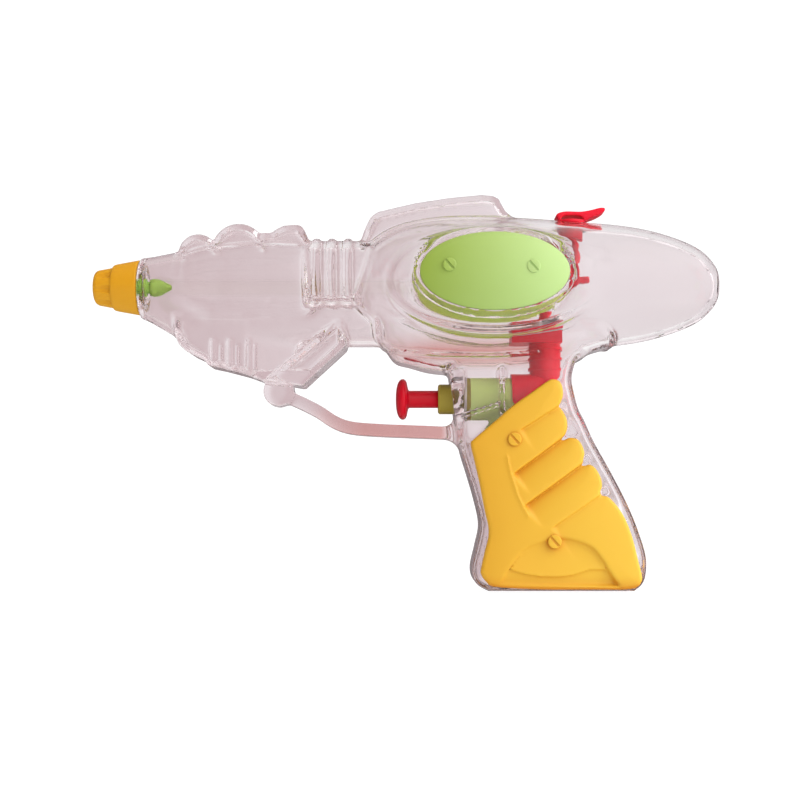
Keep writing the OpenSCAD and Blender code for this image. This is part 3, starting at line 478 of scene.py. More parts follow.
def dress(nodes, material):
    """Gives CAD nodes that stay in view their material."""
    for name in nodes:
        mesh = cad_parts[name].data
        mesh.materials.clear()
        mesh.materials.append(material)
        mesh.shade_smooth()
        mesh.set_sharp_from_angle(angle=math.radians(30))


def add_node(tree, kind, settings=None, links=None):
    """A node with its settings and what feeds it: a socket, or a node for its first output in use."""
    node = tree.nodes.new(kind)
    for key, value in (settings or {}).items():
        if isinstance(key, str) and hasattr(node, key):
            setattr(node, key, value)
        else:
            node.inputs[key].default_value = value
    for key, source in (links or {}).items():
        if isinstance(source, bpy.types.Node):
            source = next(socket for socket in source.outputs if socket.enabled)
        tree.links.new(source, node.inputs[key])
    return node


def new_tree(name):
    """An empty material and its node tree."""
    material = bpy.data.materials.new(name)
    material.use_nodes = True
    material.node_tree.nodes.clear()
    return material, material.node_tree


def per_mm(size):
    """Texture scale for a pattern of this size in millimetres, in coordinates counted in metres."""
    return 1000 / size


def opaque(colour):
    """A colour with full alpha, from linear values or a hex code."""
    return (*(to_linear(colour) if isinstance(colour, str) else colour), 1.0)


def moulded_plastic(name, light, deep, roughness, painted_crease_shade=None, run=None, glow=0.0, depth=3.0):
    """Injection-moulded plastic or rubber: waxy, soft gloss, faint clouds along the flow, a fine mould grain.

    With painted_crease_shade, corners and grooves take that colour: painted shade where ambient occlusion
    finds
    them. With run, the places of its deep and of its light end along the toy, it pales from one to the other:
    painted shade towards the deep end, painted light towards the light end. Glow is the share of light that
    soaks in, to a depth in mm.
    """
    material, tree = new_tree(name)
    place = add_node(tree, "ShaderNodeTexCoord").outputs["Object"]
    cloud = add_node(tree, "ShaderNodeTexNoise", {"Scale": per_mm(9.0), "Detail": 3.0}, {"Vector": place})
    if run:
        # Painted shade and light: along X the colour runs from the deep colour at one end to the light colour
        # at the other, as if lit from one side
        along = add_node(tree, "ShaderNodeSeparateXYZ", links={"Vector": place})
        deep_end, light_end = run[0] / 1000, run[1] / 1000
        thin = add_node(tree, "ShaderNodeMapRange",
                        {"From Min": deep_end, "From Max": light_end, "To Min": -0.04, "To Max": 0.9},
                        {"Value": along.outputs["X"]})
        faint = add_node(tree, "ShaderNodeMath", {"operation": "MULTIPLY", 1: 0.1}, {0: cloud})
        cloud = add_node(tree, "ShaderNodeMath", {"operation": "ADD", "use_clamp": True}, {0: thin, 1: faint})
    tint = add_node(tree, "ShaderNodeMix", {"data_type": "RGBA", "A": opaque(deep), "B": opaque(light)},
                    {"Factor": cloud})
    if painted_crease_shade:
        # Painted shade: where ambient occlusion finds corners and grooves, the colour turns to the given
        # shade colour
        open_sky = add_node(tree, "ShaderNodeAmbientOcclusion", {"Distance": 0.006, "samples": 12})
        reach = add_node(tree, "ShaderNodeMapRange", {"From Min": 0.45, "From Max": 0.98},
                         {"Value": open_sky.outputs["AO"]})
        tint = add_node(tree, "ShaderNodeMix", {"data_type": "RGBA", "A": opaque(painted_crease_shade)},
                        {"Factor": reach, "B": tint})
    grain = add_node(tree, "ShaderNodeTexNoise", {"Scale": per_mm(0.5), "Detail": 2.0}, {"Vector": place})
    gloss = add_node(tree, "ShaderNodeMapRange", {"To Min": roughness - 0.05, "To Max": roughness + 0.07},
                     {"Value": grain})
    relief = add_node(tree, "ShaderNodeBump", {"Strength": 0.06, "Distance": 0.0002}, {"Height": grain})
    soak = (0.001 * depth, 0.0011 * depth, 0.0005 * depth)
    shader = add_node(tree, "ShaderNodeBsdfPrincipled",
                      {"IOR": 1.49, "Specular IOR Level": 0.3, "Subsurface Weight": glow,
                       "Subsurface Radius": soak, "Subsurface Scale": 1.0},
                      {"Base Color": tint, "Roughness": gloss, "Normal": relief})
    add_node(tree, "ShaderNodeOutputMaterial", links={"Surface": shader})
    return material


def clear_polystyrene(name, thin, bar):
    """Clear moulded polystyrene: glassy and softly uneven, with a warm tint where it is thick.

    The tint lies in the solid bar of the trigger guard. Along the belly the same colour, laid on more
    strongly, is a painted shade.
    """
    material, tree = new_tree(name)
    place = add_node(tree, "ShaderNodeTexCoord").outputs["Object"]
    along = add_node(tree, "ShaderNodeSeparateXYZ", links={"Vector": place})
    shares = []
    for limits in (GUARD_TINT, BELLY_PAINTED_SHADE):
        share = None
        for axis, start, full, most in limits:
            limit = add_node(tree, "ShaderNodeMapRange",
                             {"From Min": start / 1000, "From Max": full / 1000, "To Max": most},
                             {"Value": along.outputs[axis]})
            share = limit if share is None else add_node(tree, "ShaderNodeMath", {"operation": "MULTIPLY"},
                                                         {0: share, 1: limit})
        shares.append(share)
    # Painted shade along the belly: the bar's colour is laid on there as well, and more strongly
    warm = add_node(tree, "ShaderNodeMath", {"operation": "MAXIMUM"}, {0: shares[0], 1: shares[1]})
    tint = add_node(tree, "ShaderNodeMix",
                    {"data_type": "RGBA", "clamp_factor": False, "A": opaque(thin), "B": opaque(bar)},
                    {"Factor": warm})
    sink = add_node(tree, "ShaderNodeTexNoise", {"Scale": per_mm(7.0), "Detail": 1.0}, {"Vector": place})
    relief = add_node(tree, "ShaderNodeBump", {"Strength": 0.2, "Distance": 0.0004}, {"Height": sink})
    haze = add_node(tree, "ShaderNodeMapRange", {"To Min": 0.03, "To Max": 0.09}, {"Value": sink})
    shader = add_node(tree, "ShaderNodeBsdfPrincipled", {"IOR": 1.5, "Transmission Weight": 1.0},
                      {"Base Color": tint, "Roughness": haze, "Normal": relief})
    depth = add_node(tree, "ShaderNodeVolumeAbsorption", {"Color": (0.82, 0.5, 0.56, 1.0), "Density": 5.0})
    add_node(tree, "ShaderNodeOutputMaterial", links={"Surface": shader, "Volume": depth})
    return material


def grained(name, size, detail, socket, low, high, settings):
    """A surface on which a noise of a size in millimetres varies one value."""
    material, tree = new_tree(name)
    place = add_node(tree, "ShaderNodeTexCoord").outputs["Object"]
    noise = add_node(tree, "ShaderNodeTexNoise", {"Scale": per_mm(size), "Detail": detail}, {"Vector": place})
    value = add_node(tree, "ShaderNodeMapRange", {"To Min": low, "To Max": high}, {"Value": noise})
    shader = add_node(tree, "ShaderNodeBsdfPrincipled", settings, {socket: value})
    add_node(tree, "ShaderNodeOutputMaterial", links={"Surface": shader})
    return material


def soft_vinyl_hose(name):
    """Thin soft clear vinyl: it bends light so little that the hose hardly shows, with a faint bloom."""
    settings = {"Base Color": opaque("#FDFDFC"), "IOR": 1.02, "Transmission Weight": 1.0}
    return grained(name, 3.0, 2.0, "Roughness", 0.04, 0.16, settings)


def spring_steel(name):
    """Drawn spring steel: bright, with fine lines along the wire."""
    settings = {"Base Color": opaque("#C9CCD1"), "Metallic": 1.0}
    return grained(name, 0.4, 3.0, "Roughness", 0.18, 0.36, settings)


def white_paper(name, glow):
    """Matt white paper that sends back light by itself, with soft clouds of fibre."""
    settings = {"Roughness": 0.9, "Emission Color": (1, 1, 1, 1), "Emission Strength": glow}
    return grained(name, 40.0, 2.0, "Base Color", 0.10, 0.12, settings)


def shade(colour, share):
    """A colour made darker or lighter."""
    return tuple(min(c * share, 1.0) for c in colour)


def body_form(field, sizes):
    """Signed distances of the clear body's outside and of its hollow, both halves together."""
    mm = {name: getattr(sizes, name) * 1000 for name in SquirterBody.__annotations__}

    def raised(points):
        """Heights counted from the muzzle's axis, as heights above the base."""
        return [(x, AXIS_Z + z) for x, z in points]

    def with_plate(form, points, half_w, edge, fillet):
        """A form with a plate moulded on."""
        return join(form, plate(field, points, half_w, edge), fillet)

    tank_rows = curve_through([(x, share * mm["tank_r"]) for x, share in TANK_LINE], 4)
    body = turned(field, np.maximum(tank_rows, (-1e9, 0)), AXIS_Z + 0.5, mm["tank_half_w"] / mm["tank_r"])
    body = with_plate(body, curve_through(raised(BELLY), 4), half_w=14, edge=8, fillet=1.2)
    grip = np.vstack([curve_through(GRIP_FRONT, 4), [(-34, 84), (4, 84)], curve_through(GRIP_BACK, 4)])
    body = with_plate(body, grip, half_w=13, edge=mm["grip_edge"], fillet=1.6)

    # The boss spreads towards its foot, and downwards most
    spread = np.clip((BOSS_FACE - np.abs(field.y)) / 4, 0, 1)
    wide, high = (half + flare * spread for half, flare in zip(BOSS_HALF, BOSS_FLARE))
    flank = oval_distance(field.x - OVAL_X, field.z - OVAL_Z + 2.5 * spread, wide, high) / 1.7
    boss = rounded(flank, np.abs(field.y) - BOSS_FACE, 0.7)

    muzzle, bend = (MUZZLE_X, AXIS_Z), (-121, AXIS_Z - 11.9)
    barrel_rows = curve_through([(x, share * mm["barrel_r"]) for x, share in BARREL_LINE], 4)
    barrel = turned(field, barrel_rows, AXIS_Z + 2.5)
    barrel = join(barrel, rod(field, muzzle, (-118, AXIS_Z + 2.3), 9.4, 0.85 * mm["barrel_r"]), 2.5)
    lower = join(rod(field, muzzle, bend, mm["lower_r"] + 0.2, mm["lower_r"] + 0.2),
                 rod(field, bend, (-56, bend[1]), mm["lower_r"], mm["lower_r"]), 0.6)
    barrel = join(barrel, lower, 3.0)
    body = join(body, barrel, 0.8)
    body = join(body, drum_x(field, -89, -59, NECK_Z, mm["neck_r"], 0.5), 0.8)
    body = with_plate(body, raised(FIN), half_w=4.6, edge=2.2, fillet=0.9)
    for x, rise, r in ROUND_HUMPS:
        body = join(body, drum_y(field, x, AXIS_Z + rise, r, 6.5, 2.6), 0.9)
    body = with_plate(body, raised(REAR_HUMP), half_w=6.5, edge=2.2, fillet=0.9)
    scoop_half_w = np.interp(field.x, [-106, -90], [8.5, 3.9])
    body = with_plate(body, raised(SCOOP), half_w=scoop_half_w, edge=1.8, fillet=2.0)
    body = with_plate(body, raised(STRUT), half_w=8.9, edge=1.0, fillet=0.7)
    knuckle = drum_y(field, -94.6, AXIS_Z - 35.3, 5, 5.6, 2.0)
    body = join(body, knuckle, 0.7)
    body = rounded(body, MUZZLE_X - field.x, 0.7)
    hollow = join(body, boss, 4.0) + mm["wall"]

    outside = join(body, boss, 1.5)
    outside = with_plate(outside, raised(WEB), half_w=2.2, edge=0.8, fillet=0.7)
    for x in NECK_RIBS:
        outside = join(outside, drum_x(field, x, x + 2.4, NECK_Z, mm["neck_r"] + 0.8, 0.7), 0.4)
    for x, foot in SCOOP_RIBS:
        rib = block(field, (x - 0.75, -9.6, AXIS_Z + foot), (x + 0.75, 9.6, AXIS_Z - 18.6), 0.4)
        outside = join(outside, rib, 0.3)
    outside = with_plate(outside, raised(BELLY_LEDGE), half_w=14.7, edge=0.4, fillet=0.5)
    guard = side_distance(field, curve_through(raised(GUARD_LINE), 5), False) - mm["guard_t"] / 2
    guard_fillet = np.interp(field.x, [-48, -38], [0.9, 5.0])
    outside = join(outside, rounded(guard, np.abs(field.y) - 4.4, 1.4), guard_fillet)
    spigot = drum_x(field, MUZZLE_X - 6.5, MUZZLE_X + 1, AXIS_Z, 7.2, 0.3)
    return np.minimum(outside, spigot), hollow


def shell_form(field, sizes, trim):
    """Signed distance of the clear wall with its seats, ribs and holes."""
    outside, hollow = body_form(field, sizes)
    side = np.abs(field.y)
    half_l, half_h = trim.oval_l * 500, trim.oval_h * 500

    def oval(grow):
        """Distance from the panel's oval, grown by a margin."""
        return oval_distance(field.x - OVAL_X, field.z - OVAL_Z, half_l + grow, half_h + grow)

    # Kept in the hollow: the oval seats, the wall round the collar, the cylinder's holder and a gusset
    seat = np.maximum(oval(1.8), OVAL_FLOOR - 2 - side)
    collar_wall = np.maximum(field.x + 33.2, np.abs(field.z - PUMP_Z + 0.5) - 9.5)
    holder = np.maximum(np.abs(field.x + 20.7) - 0.8, np.abs(field.z - PUMP_Z) - 10)
    gusset = np.maximum(side_distance(field, [(-34, 56.8), (-21, 60.8)], False) - 0.5, 8.2 - side)
    kept = np.minimum(np.minimum(np.minimum(seat, collar_wall), holder), gusset)
    wall = cut(outside, cut(hollow, kept))
    wall = cut(wall, np.maximum(oval(0.08), OVAL_FLOOR - side))
    panel = side_distance(field, curve_through(GRIP_PANEL, 5, True))
    wall = cut(wall, np.maximum(panel - 0.1, GRIP_FLOOR - side))
    for z, r in FILLER_STEPS:
        wall = cut(wall, drum_z(field, FILLER_X, z, 200, r, 0.0))
    for x0, x1, z, r in BORES:
        wall = cut(wall, drum_x(field, x0, x1, z, r, 0.0))
    return wall


class SQUIRTER_OT_clear_shells(bpy.types.Operator):
    """Build the two halves of the clear body"""

    bl_idname = "squirter.clear_shells"
    bl_label = "Clear shells"

    def execute(self, context):
        sizes, trim = context.scene.squirter_body, context.scene.squirter_trim
        field = Field(*BODY_BOX, sizes.mesh_step * 1000)
        wall = shell_form(field, sizes, trim)
        points, quads = skin(field, np.maximum(wall, field.y + HALF_GAP))
        # Points near the middle plane and the wall's surface are set on both, for a crisp rim
        near = points[:, 1] > -0.75 * field.step
        value, _ = sampled(field, wall, points * (1, 0, 1) - (0, HALF_GAP, 0))
        rim = near & (np.abs(value) < 0.75 * field.step)
        for _ in range(3):
            points[rim, 1] = -HALF_GAP
            value, slope = sampled(field, wall, points[rim])
            slope[:, 1] = 0
            points[rim] -= value[:, None] * slope / np.maximum((slope ** 2).sum(1), 0.1)[:, None]
        colours = context.scene.squirter_colours
        material = clear_polystyrene("clear moulded polystyrene", colours.clear, colours.clear_bar)
        add_pair("clear_{}_half", points, quads, material, "{}_shell", "clear_plastic", 50)
        return {"FINISHED"}


def screw_head(r, x, z, base, top):
    """A round slotted head that stands out from the left side of the toy."""
    around = r + 0.6
    field = Field((x - around, -top - 0.6, z - around), (x + around, -base + 0.4, z + around), 0.14)
    dx, dz = field.x - x, field.z - z
    form = rounded(np.hypot(dx, dz) - r, np.maximum(-field.y - top, field.y + base), 0.35)
    tilt, slot_half_w, slot_depth = math.radians(-48), 0.36, 0.42
    slot = np.abs(dx * math.sin(tilt) - dz * math.cos(tilt)) - slot_half_w
    return skin(field, cut(form, np.maximum(slot, field.y + top - slot_depth)), 2)


class SQUIRTER_OT_oval_panels(bpy.types.Operator):
    """Build the two green oval panels with their moulded heads"""

    bl_idname = "squirter.oval_panels"
    bl_label = "Oval panels"

    def execute(self, context):
        trim, colours = context.scene.squirter_trim, context.scene.squirter_colours
        a, b, crown = trim.oval_l * 500, trim.oval_h * 500, trim.oval_crown * 1000
        floor, edge, turns = OVAL_INNER, 2.2, 128

        def dome(share):
            """How far the face stands out at a share of the way from the middle to the edge."""
            return floor + edge + crown * (1 - share ** 2) ** 0.9

        shares = [*np.linspace(0, 0.8, 16)[:-1], *np.linspace(0.8, 0.985, 10), 0.994, 0.999, 1.0]
        rows = [(s, dome(s)) for s in shares]
        rows += [(1.0, floor + edge - 0.4), (1.0, floor + 0.5), (0.985, floor), (0.5, floor), (0.0, floor)]
        angle = np.arange(turns) * 2 * math.pi / turns
        points = np.array([(OVAL_X + a * s * math.cos(t), -out, OVAL_Z + b * s * math.sin(t))
                           for s, out in rows for t in angle])
        parts = [(points, ring_quads(len(rows), turns)[:, [0, 3, 2, 1]])]
        for x, z in OVAL_HEADS:
            top = dome(math.hypot(x / a, z / b))
            parts.append(screw_head(trim.head_r * 1000, OVAL_X + x, OVAL_Z + z, top - 1.2, top + 0.55))
        # Painted shade on the left end of the green panels and painted light on the right end, as if lit from
        # the right
        material = moulded_plastic("green polypropylene", colours.green, "#92AC46", 0.42,
                                   run=(OVAL_X - 22, OVAL_X + 24), glow=0.15)
        # Painted light: the inner faces, seen only through the clear body, take a much paler green than the
        # outside, standing in for light that hardly reaches them
        inner = moulded_plastic("green polypropylene, matt inner face", "#E6FFA8",
                                "#DCFA9A", 0.6, glow=0.9, depth=8.0)
        pair = add_pair("oval_panel_{}", *merged(parts), material, "{}_oval_panel", "green_plastic", 60)
        for piece in pair:
            piece.data.materials.append(inner)
            for face in piece.data.polygons:
                face.material_index = int(abs(face.center.y) * 1000 < floor + 0.3)
        return {"FINISHED"}


class SQUIRTER_OT_grip_panels(bpy.types.Operator):
    """Build the two yellow grip panels with finger ridges, palm arch and moulded heads"""

    bl_idname = "squirter.grip_panels"
    bl_label = "Grip panels"

    def execute(self, context):
        trim, colours = context.scene.squirter_trim, context.scene.squirter_colours
        field = Field(*PANEL_BOX, 0.36)
        flat = line_distance(curve_through(GRIP_PANEL, 5, True), field.xs, field.zs, True)
        x, z = field.xs[:, None], field.zs[None, :]
        height = np.full(flat.shape, GRIP_FACE)
        deep = trim.finger_step * 1000

        def soft_side(distance, width):
            """1 on the far side of a line, 0 on the near side, with a soft change over a width."""
            return 1 / (1 + np.exp(np.clip(-distance / width, -60, 60)))

        # Each ridge rises from the sharp step above it to the next step
        below = [((x - ax) * (bz - az) - (z - az) * (bx - ax)) / math.hypot(bx - ax, bz - az)
                 for (ax, az), (bx, bz) in FINGER_STEPS]
        for share, (a, b), near, far in zip(STEP_SHARES, FINGER_STEPS, below, below[1:]):
            along = ((x - a[0]) * (b[0] - a[0]) + (z - a[1]) * (b[1] - a[1])) / math.dist(a, b)
            start = soft_side(along - 0.4, 0.3)
            place = np.clip(near / np.maximum(near - far, 0.1), 0, 1)
            groove = np.where(near > 0, (1 - place) ** 1.9, np.exp(np.minimum(near, 0) / 0.2))
            height -= deep * share * start * groove
        # A low bead runs down in front of the ridges' ends
        ends = line_distance(curve_through(RIDGE_END, 6), field.xs, field.zs, False)
        in_front = x <= np.interp(z, *zip(*[(b, a) for a, b in RIDGE_END[::-1]]))
        height += 0.35 * np.exp(-(ends / 0.8) ** 2) * in_front
        # The palm arch is sunk, with a raised line that falls off sharply below
        arch = line_distance(curve_through(PALM_ARCH, 6), field.xs, field.zs, True)
        height -= np.interp(x, [-20, 14], [0.6, 1.7]) * soft_side(-arch, 0.25)
        smile = curve_through(PALM_LINE, 6)
        above = z - np.interp(x, smile[:, 0], smile[:, 1])
        lens = np.where(above > 0, np.exp(-np.maximum(above, 0) / 4), np.exp(np.minimum(above, 0) / 0.2))
        height += 0.7 * lens * (arch < -0.3)
        height -= 0.8 * np.exp(np.minimum(flat, 0) / 4)
        top = height.astype(np.float32)[:, None, :]
        edge = flat.astype(np.float32)[:, None, :]
        form = rounded(edge, np.maximum(-field.y - top, field.y + GRIP_INNER), 1.0)
        heads = [screw_head(trim.head_r * 1000, hx, hz, GRIP_FACE - 1.8, GRIP_FACE + 0.7)
                 for hx, hz in GRIP_HEADS]
        # Painted shade: the yellow darkens towards the left end, in the grooves between the ridges and round
        # the heads, and pales towards the right
        material = moulded_plastic("yellow polypropylene", colours.yellow, "#D5A026", 0.46,
                                   "#CC8410", run=(-32, 8), glow=0.12)
        add_pair("grip_panel_{}", *merged([skin(field, form), *heads]), material, "{}_grip_panel",
                 "yellow_plastic", 60)
        return {"FINISHED"}


class SQUIRTER_OT_nozzle(bpy.types.Operator):
    """Build the fluted nozzle cap and dress the jet insert and its washer"""

    bl_idname = "squirter.nozzle"
    bl_label = "Nozzle"

    def execute(self, context):
        colours = context.scene.squirter_colours
        front, back = CAP_LOW[0] + 0.5, CAP_HIGH[0]
        field = Field((front - 1, -10.6, AXIS_Z - 10.6), (back + 1, 10.6, AXIS_Z + 10.6), 0.3)
        radius = np.hypot(field.y, field.z - AXIS_Z)
        step = front + 6.4
        nose_r = np.interp(field.x, [front, front + 1.4, step + 1], [5.2, 6.0, 7.2])
        skirt_r = np.interp(field.x, [step, step + 1.5, back], [7.6, 8.0, 9.35])
        nose = rounded(radius - nose_r, np.maximum(front - field.x, field.x - step - 1), 0.9)
        skirt = rounded(radius - skirt_r, np.maximum(step - field.x, field.x - back), 0.45)
        form = join(nose, skirt, 0.3)
        # Eight round flutes, which run out towards the tip
        angle = np.arctan2(field.z - AXIS_Z, field.y)
        turn = (angle + math.radians(10)) % (math.pi / 4) - math.pi / 8
        bite, flute_r = np.interp(field.x, [front, step], [0.2, 1.1]), 1.5
        flute = np.hypot(turn * 7.2, radius - nose_r - flute_r + bite) - flute_r
        form = cut(form, np.maximum(flute, np.maximum(front + 0.6 - field.x, field.x - step + 0.3)))
        # The jet's hole, its seat and the socket for the spigot
        for r, start in ((1.2, front - 10), (JET_BORE_R, front + 4.4), (7.31, back - 6.5)):
            form = cut(form, np.maximum(radius - r, start - field.x))
        orange = colours.orange
        material = moulded_plastic("orange polypropylene", orange, shade(orange, 0.9), 0.45, glow=0.1)
        add_piece("fluted_nozzle_cap", *skin(field, form), material, "body", "nozzle_cap", "orange_plastic",
                  55)
        low, high = node_box("nozzle_jet")
        seat, tip = MUZZLE_X + 2, high[0]
        rows = [(low[0], 0.7), (low[0], 5.3), (seat - 3.1, 5.3), (seat - 3.1, 2.5), (seat - 2.5, 2.5),
                (seat - 2.5, 3.1), (seat - 1.7, 3.1), (seat - 1.7, 2.3), (seat - 0.8, 2.3), (seat - 0.8, 3.1),
                (seat, 3.1), (seat, 2.0), (seat + 1.1, 2.0)]
        leaf = [(seat + 1.1, 2.1), (seat + 1.5, 2.7), (seat + 2.4, 3.0), (seat + 3.6, 2.9), (seat + 5.2, 2.4),
                (seat + 6.8, 1.6), (tip - 0.2, 0.9), (tip, 0.7)]
        points, quads = lathe([*rows, *curve_through(leaf, 4)], 48)
        # Painted light: the jet's green is set brighter to stand in for light that the clear walls and the
        # cap hold back
        jet = moulded_plastic("green jet polypropylene", "#BDE768", "#ADDB56", 0.4, glow=0.1)
        points = points + (0, 0, AXIS_Z)
        add_piece("barbed_jet", points, quads, jet, "body", "nozzle_jet", "green_plastic", 40)
        silicone = moulded_plastic("milky silicone washer", "#EFECE6", "#E4E1DA", 0.5)
        dress(["nozzle_washer"], silicone)
        return {"FINISHED"}


class SQUIRTER_OT_trigger(bpy.types.Operator):
    """Build the red trigger, its button and rod in one moulding"""

    bl_idname = "squirter.trigger"
    bl_label = "Trigger"

    def execute(self, context):
        front, back = TRIGGER_LOW[0], TRIGGER_HIGH[0]
        face = [(0, 0.0), (0.05, 2.0), (0.3, 4.0), (0.8, 5.6), (1.5, 6.5), (2.1, 6.8), (2.7, 6.75),
                (3.3, 6.3), (3.7, 5.4), (3.9, 4.4), (4.1, 3.55), (4.3, 3.05), (4.55, 2.9)]
        rows = [(front + x, r) for x, r in curve_through(face, 4)]
        rows += [(back - 2.7, 2.9), (back - 2.6, 2.8), (back - 2.6, 1.8), (back - 0.2, 1.8), (back, 1.6),
                 (back, 0.0)]
        points, quads = lathe(rows)
        points = points + (0, 0, PUMP_Z)
        red = context.scene.squirter_colours.red
        material = moulded_plastic("red polypropylene", red, shade(red, 0.85), 0.3, glow=0.05)
        add_piece("trigger_button_and_rod", points, quads, material, "trigger", "trigger", "red_plastic", 50)
        return {"FINISHED"}


class SQUIRTER_OT_filler_plug(bpy.types.Operator):
    """Build the soft filler plug with its pull tab and keeper foot"""

    bl_idname = "squirter.filler_plug"
    bl_label = "Filler plug"

    def execute(self, context):
        tab_half = context.scene.squirter_trim.tab_half_w * 1000
        low, high = node_box("filler_plug")
        field = Field((low[0] - 1, -6.0, low[2] - 1), (high[0] + 1, 6.0, high[2] + 1), 0.26)
        tab = [(-3.2, 0.7), (-4.6, 1.8), (-5.0, 2.6), (-4.4, 3.4), (-3, 3.9), (-1, 4.1), (3.4, 4.0),
               (6.6, 4.5), (9.6, 5.25), (11.2, 5.25), (11.5, 4.7), (11, 3.9), (8.6, 2.5), (6.2, 1.6),
               (4.2, 0.7)]
        gap = [(-3.0, 1.1), (-2.7, 2.3), (-1, 2.75), (2.4, 2.65), (3.9, 1.9), (3.6, 1.1)]
        tab, gap = (curve_through([(FILLER_X + x, FILLER_Z + z) for x, z in line], 4, True)
                    for line in (tab, gap))
        form = cut(plate(field, tab, tab_half, 0.6), side_distance(field, gap))
        form = join(form, drum_z(field, FILLER_X, FILLER_Z, FILLER_Z + 1.2, 5.2, 0.35), 0.4)
        stopper = drum_z(field, FILLER_X, FILLER_Z - 5.4, FILLER_Z + 0.6, 4.2, 0.5)
        form = np.minimum(form, stopper)
        form = join(form, rod(field, (FILLER_X, FILLER_Z - 5), (FILLER_X, low[2] + 1), 1.8, 1.25), 0.8)
        form = join(form, block(field, (low[0], -1.5, low[2]), (FILLER_X + 6.3, 1.5, low[2] + 2.4), 0.6), 0.8)
        material = moulded_plastic("soft red vinyl", "#F01232", "#DE0C2A", 0.38, glow=0.2)
        add_piece("filler_stopper", *skin(field, form), material, "filler_plug", "filler_plug", "soft_red",
                  60)
        return {"FINISHED"}


class SQUIRTER_OT_return_spring(bpy.types.Operator):
    """Wind the return spring with closed end turns"""

    bl_idname = "squirter.return_spring"
    bl_label = "Return spring"

    def execute(self, context):
        wire_r, coil_r, coils, sides = 0.3, 4.0, 8, 10
        start, end = SPRING_LOW[0] + wire_r, SPRING_HIGH[0] - wire_r
        turns = np.linspace(0, coils, coils * 36 + 1)
        share = np.interp(turns, [0, 1, coils - 1, coils], [0, 0.05, 0.95, 1])
        out = np.stack([0 * turns, np.cos(2 * math.pi * turns), np.sin(2 * math.pi * turns)], 1)
        path = coil_r * out
        path[:, 0] = start + (end - start) * share
        path[:, 2] += PUMP_Z
        ring = np.arange(sides) * 2 * math.pi / sides
        round_wire = (np.cos(ring)[None, :, None] * out[:, None]
                      + np.sin(ring)[None, :, None] * np.array([1.0, 0, 0]))
        points = (path[:, None] + wire_r * round_wire).reshape(-1, 3)
        quads = ring_quads(len(turns), sides)
        spring = add_piece("wound_return_spring", points, quads, spring_steel("drawn spring steel"), "body",
                           "return_spring", "steel", 50)
        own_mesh(spring)
        return {"FINISHED"}


class SQUIRTER_OT_pump(bpy.types.Operator):
    """Dress the pump, the valves and the tubes inside the body"""

    bl_idname = "squirter.pump"
    bl_label = "Pump and valves"

    def execute(self, context):
        # Painted light: the green pump plastic and the red valve plastic are set lighter than the same
        # plastics outside, standing in for light that the clear walls hold back
        plastics = [
            ("green pump polypropylene", "#E4FF9C", "#DAF890", 0.35, 0.15, ["pump_cylinder", "piston"]),
            ("olive polypropylene", "#A99A3C", "#94822E", 0.35, 0.1, ["pump_collar"]),
            ("red valve polypropylene", "#FF1236", "#FA0C30", 0.32, 0.08, ["valve_block", "valve_cap"]),
            ("milky silicone rubber", "#EFECE6", "#E4E1DA", 0.5, 0.3,
             ["piston_seal", "inlet_seat", "valve_gasket", "collar_gasket"])]
        for name, light, deep, roughness, glow, nodes in plastics:
            dress(nodes, moulded_plastic(name, light, deep, roughness, glow=glow))
        dress(["delivery_tube", "suction_tube"], soft_vinyl_hose("thin clear vinyl"))
        dress(["inlet_ball", "outlet_ball"], spring_steel("polished steel ball"))
        return {"FINISHED"}


def paper_sweep(scene, stage):
    """White paper under the toy that bends up behind it."""
    floor, depth, bend_r, half_w = -0.0005, 1.8, 1.0, 4.0
    bend = [(depth + bend_r * math.sin(t), bend_r - bend_r * math.cos(t) + floor)
            for t in np.linspace(0, math.pi / 2, 14)]
    rows = [(-3.0, floor), (0.0, floor), *bend, (depth + bend_r, 4.0)]
    mesh = bpy.data.meshes.new("paper_sweep")
    mesh.from_pydata([(x, y, z) for y, z in rows for x in (-half_w, half_w)], [],
                     [(2 * i, 2 * i + 1, 2 * i + 3, 2 * i + 2) for i in range(len(rows) - 1)])
    mesh.shade_smooth()
    paper = bpy.data.objects.new("paper_sweep", mesh)
    scene.collection.objects.link(paper)
    # The room and not the paper shows in the clear plastic
    paper.visible_transmission = False
    paper.visible_glossy = False
    mesh.materials.append(white_paper("matt white paper", stage.paper))


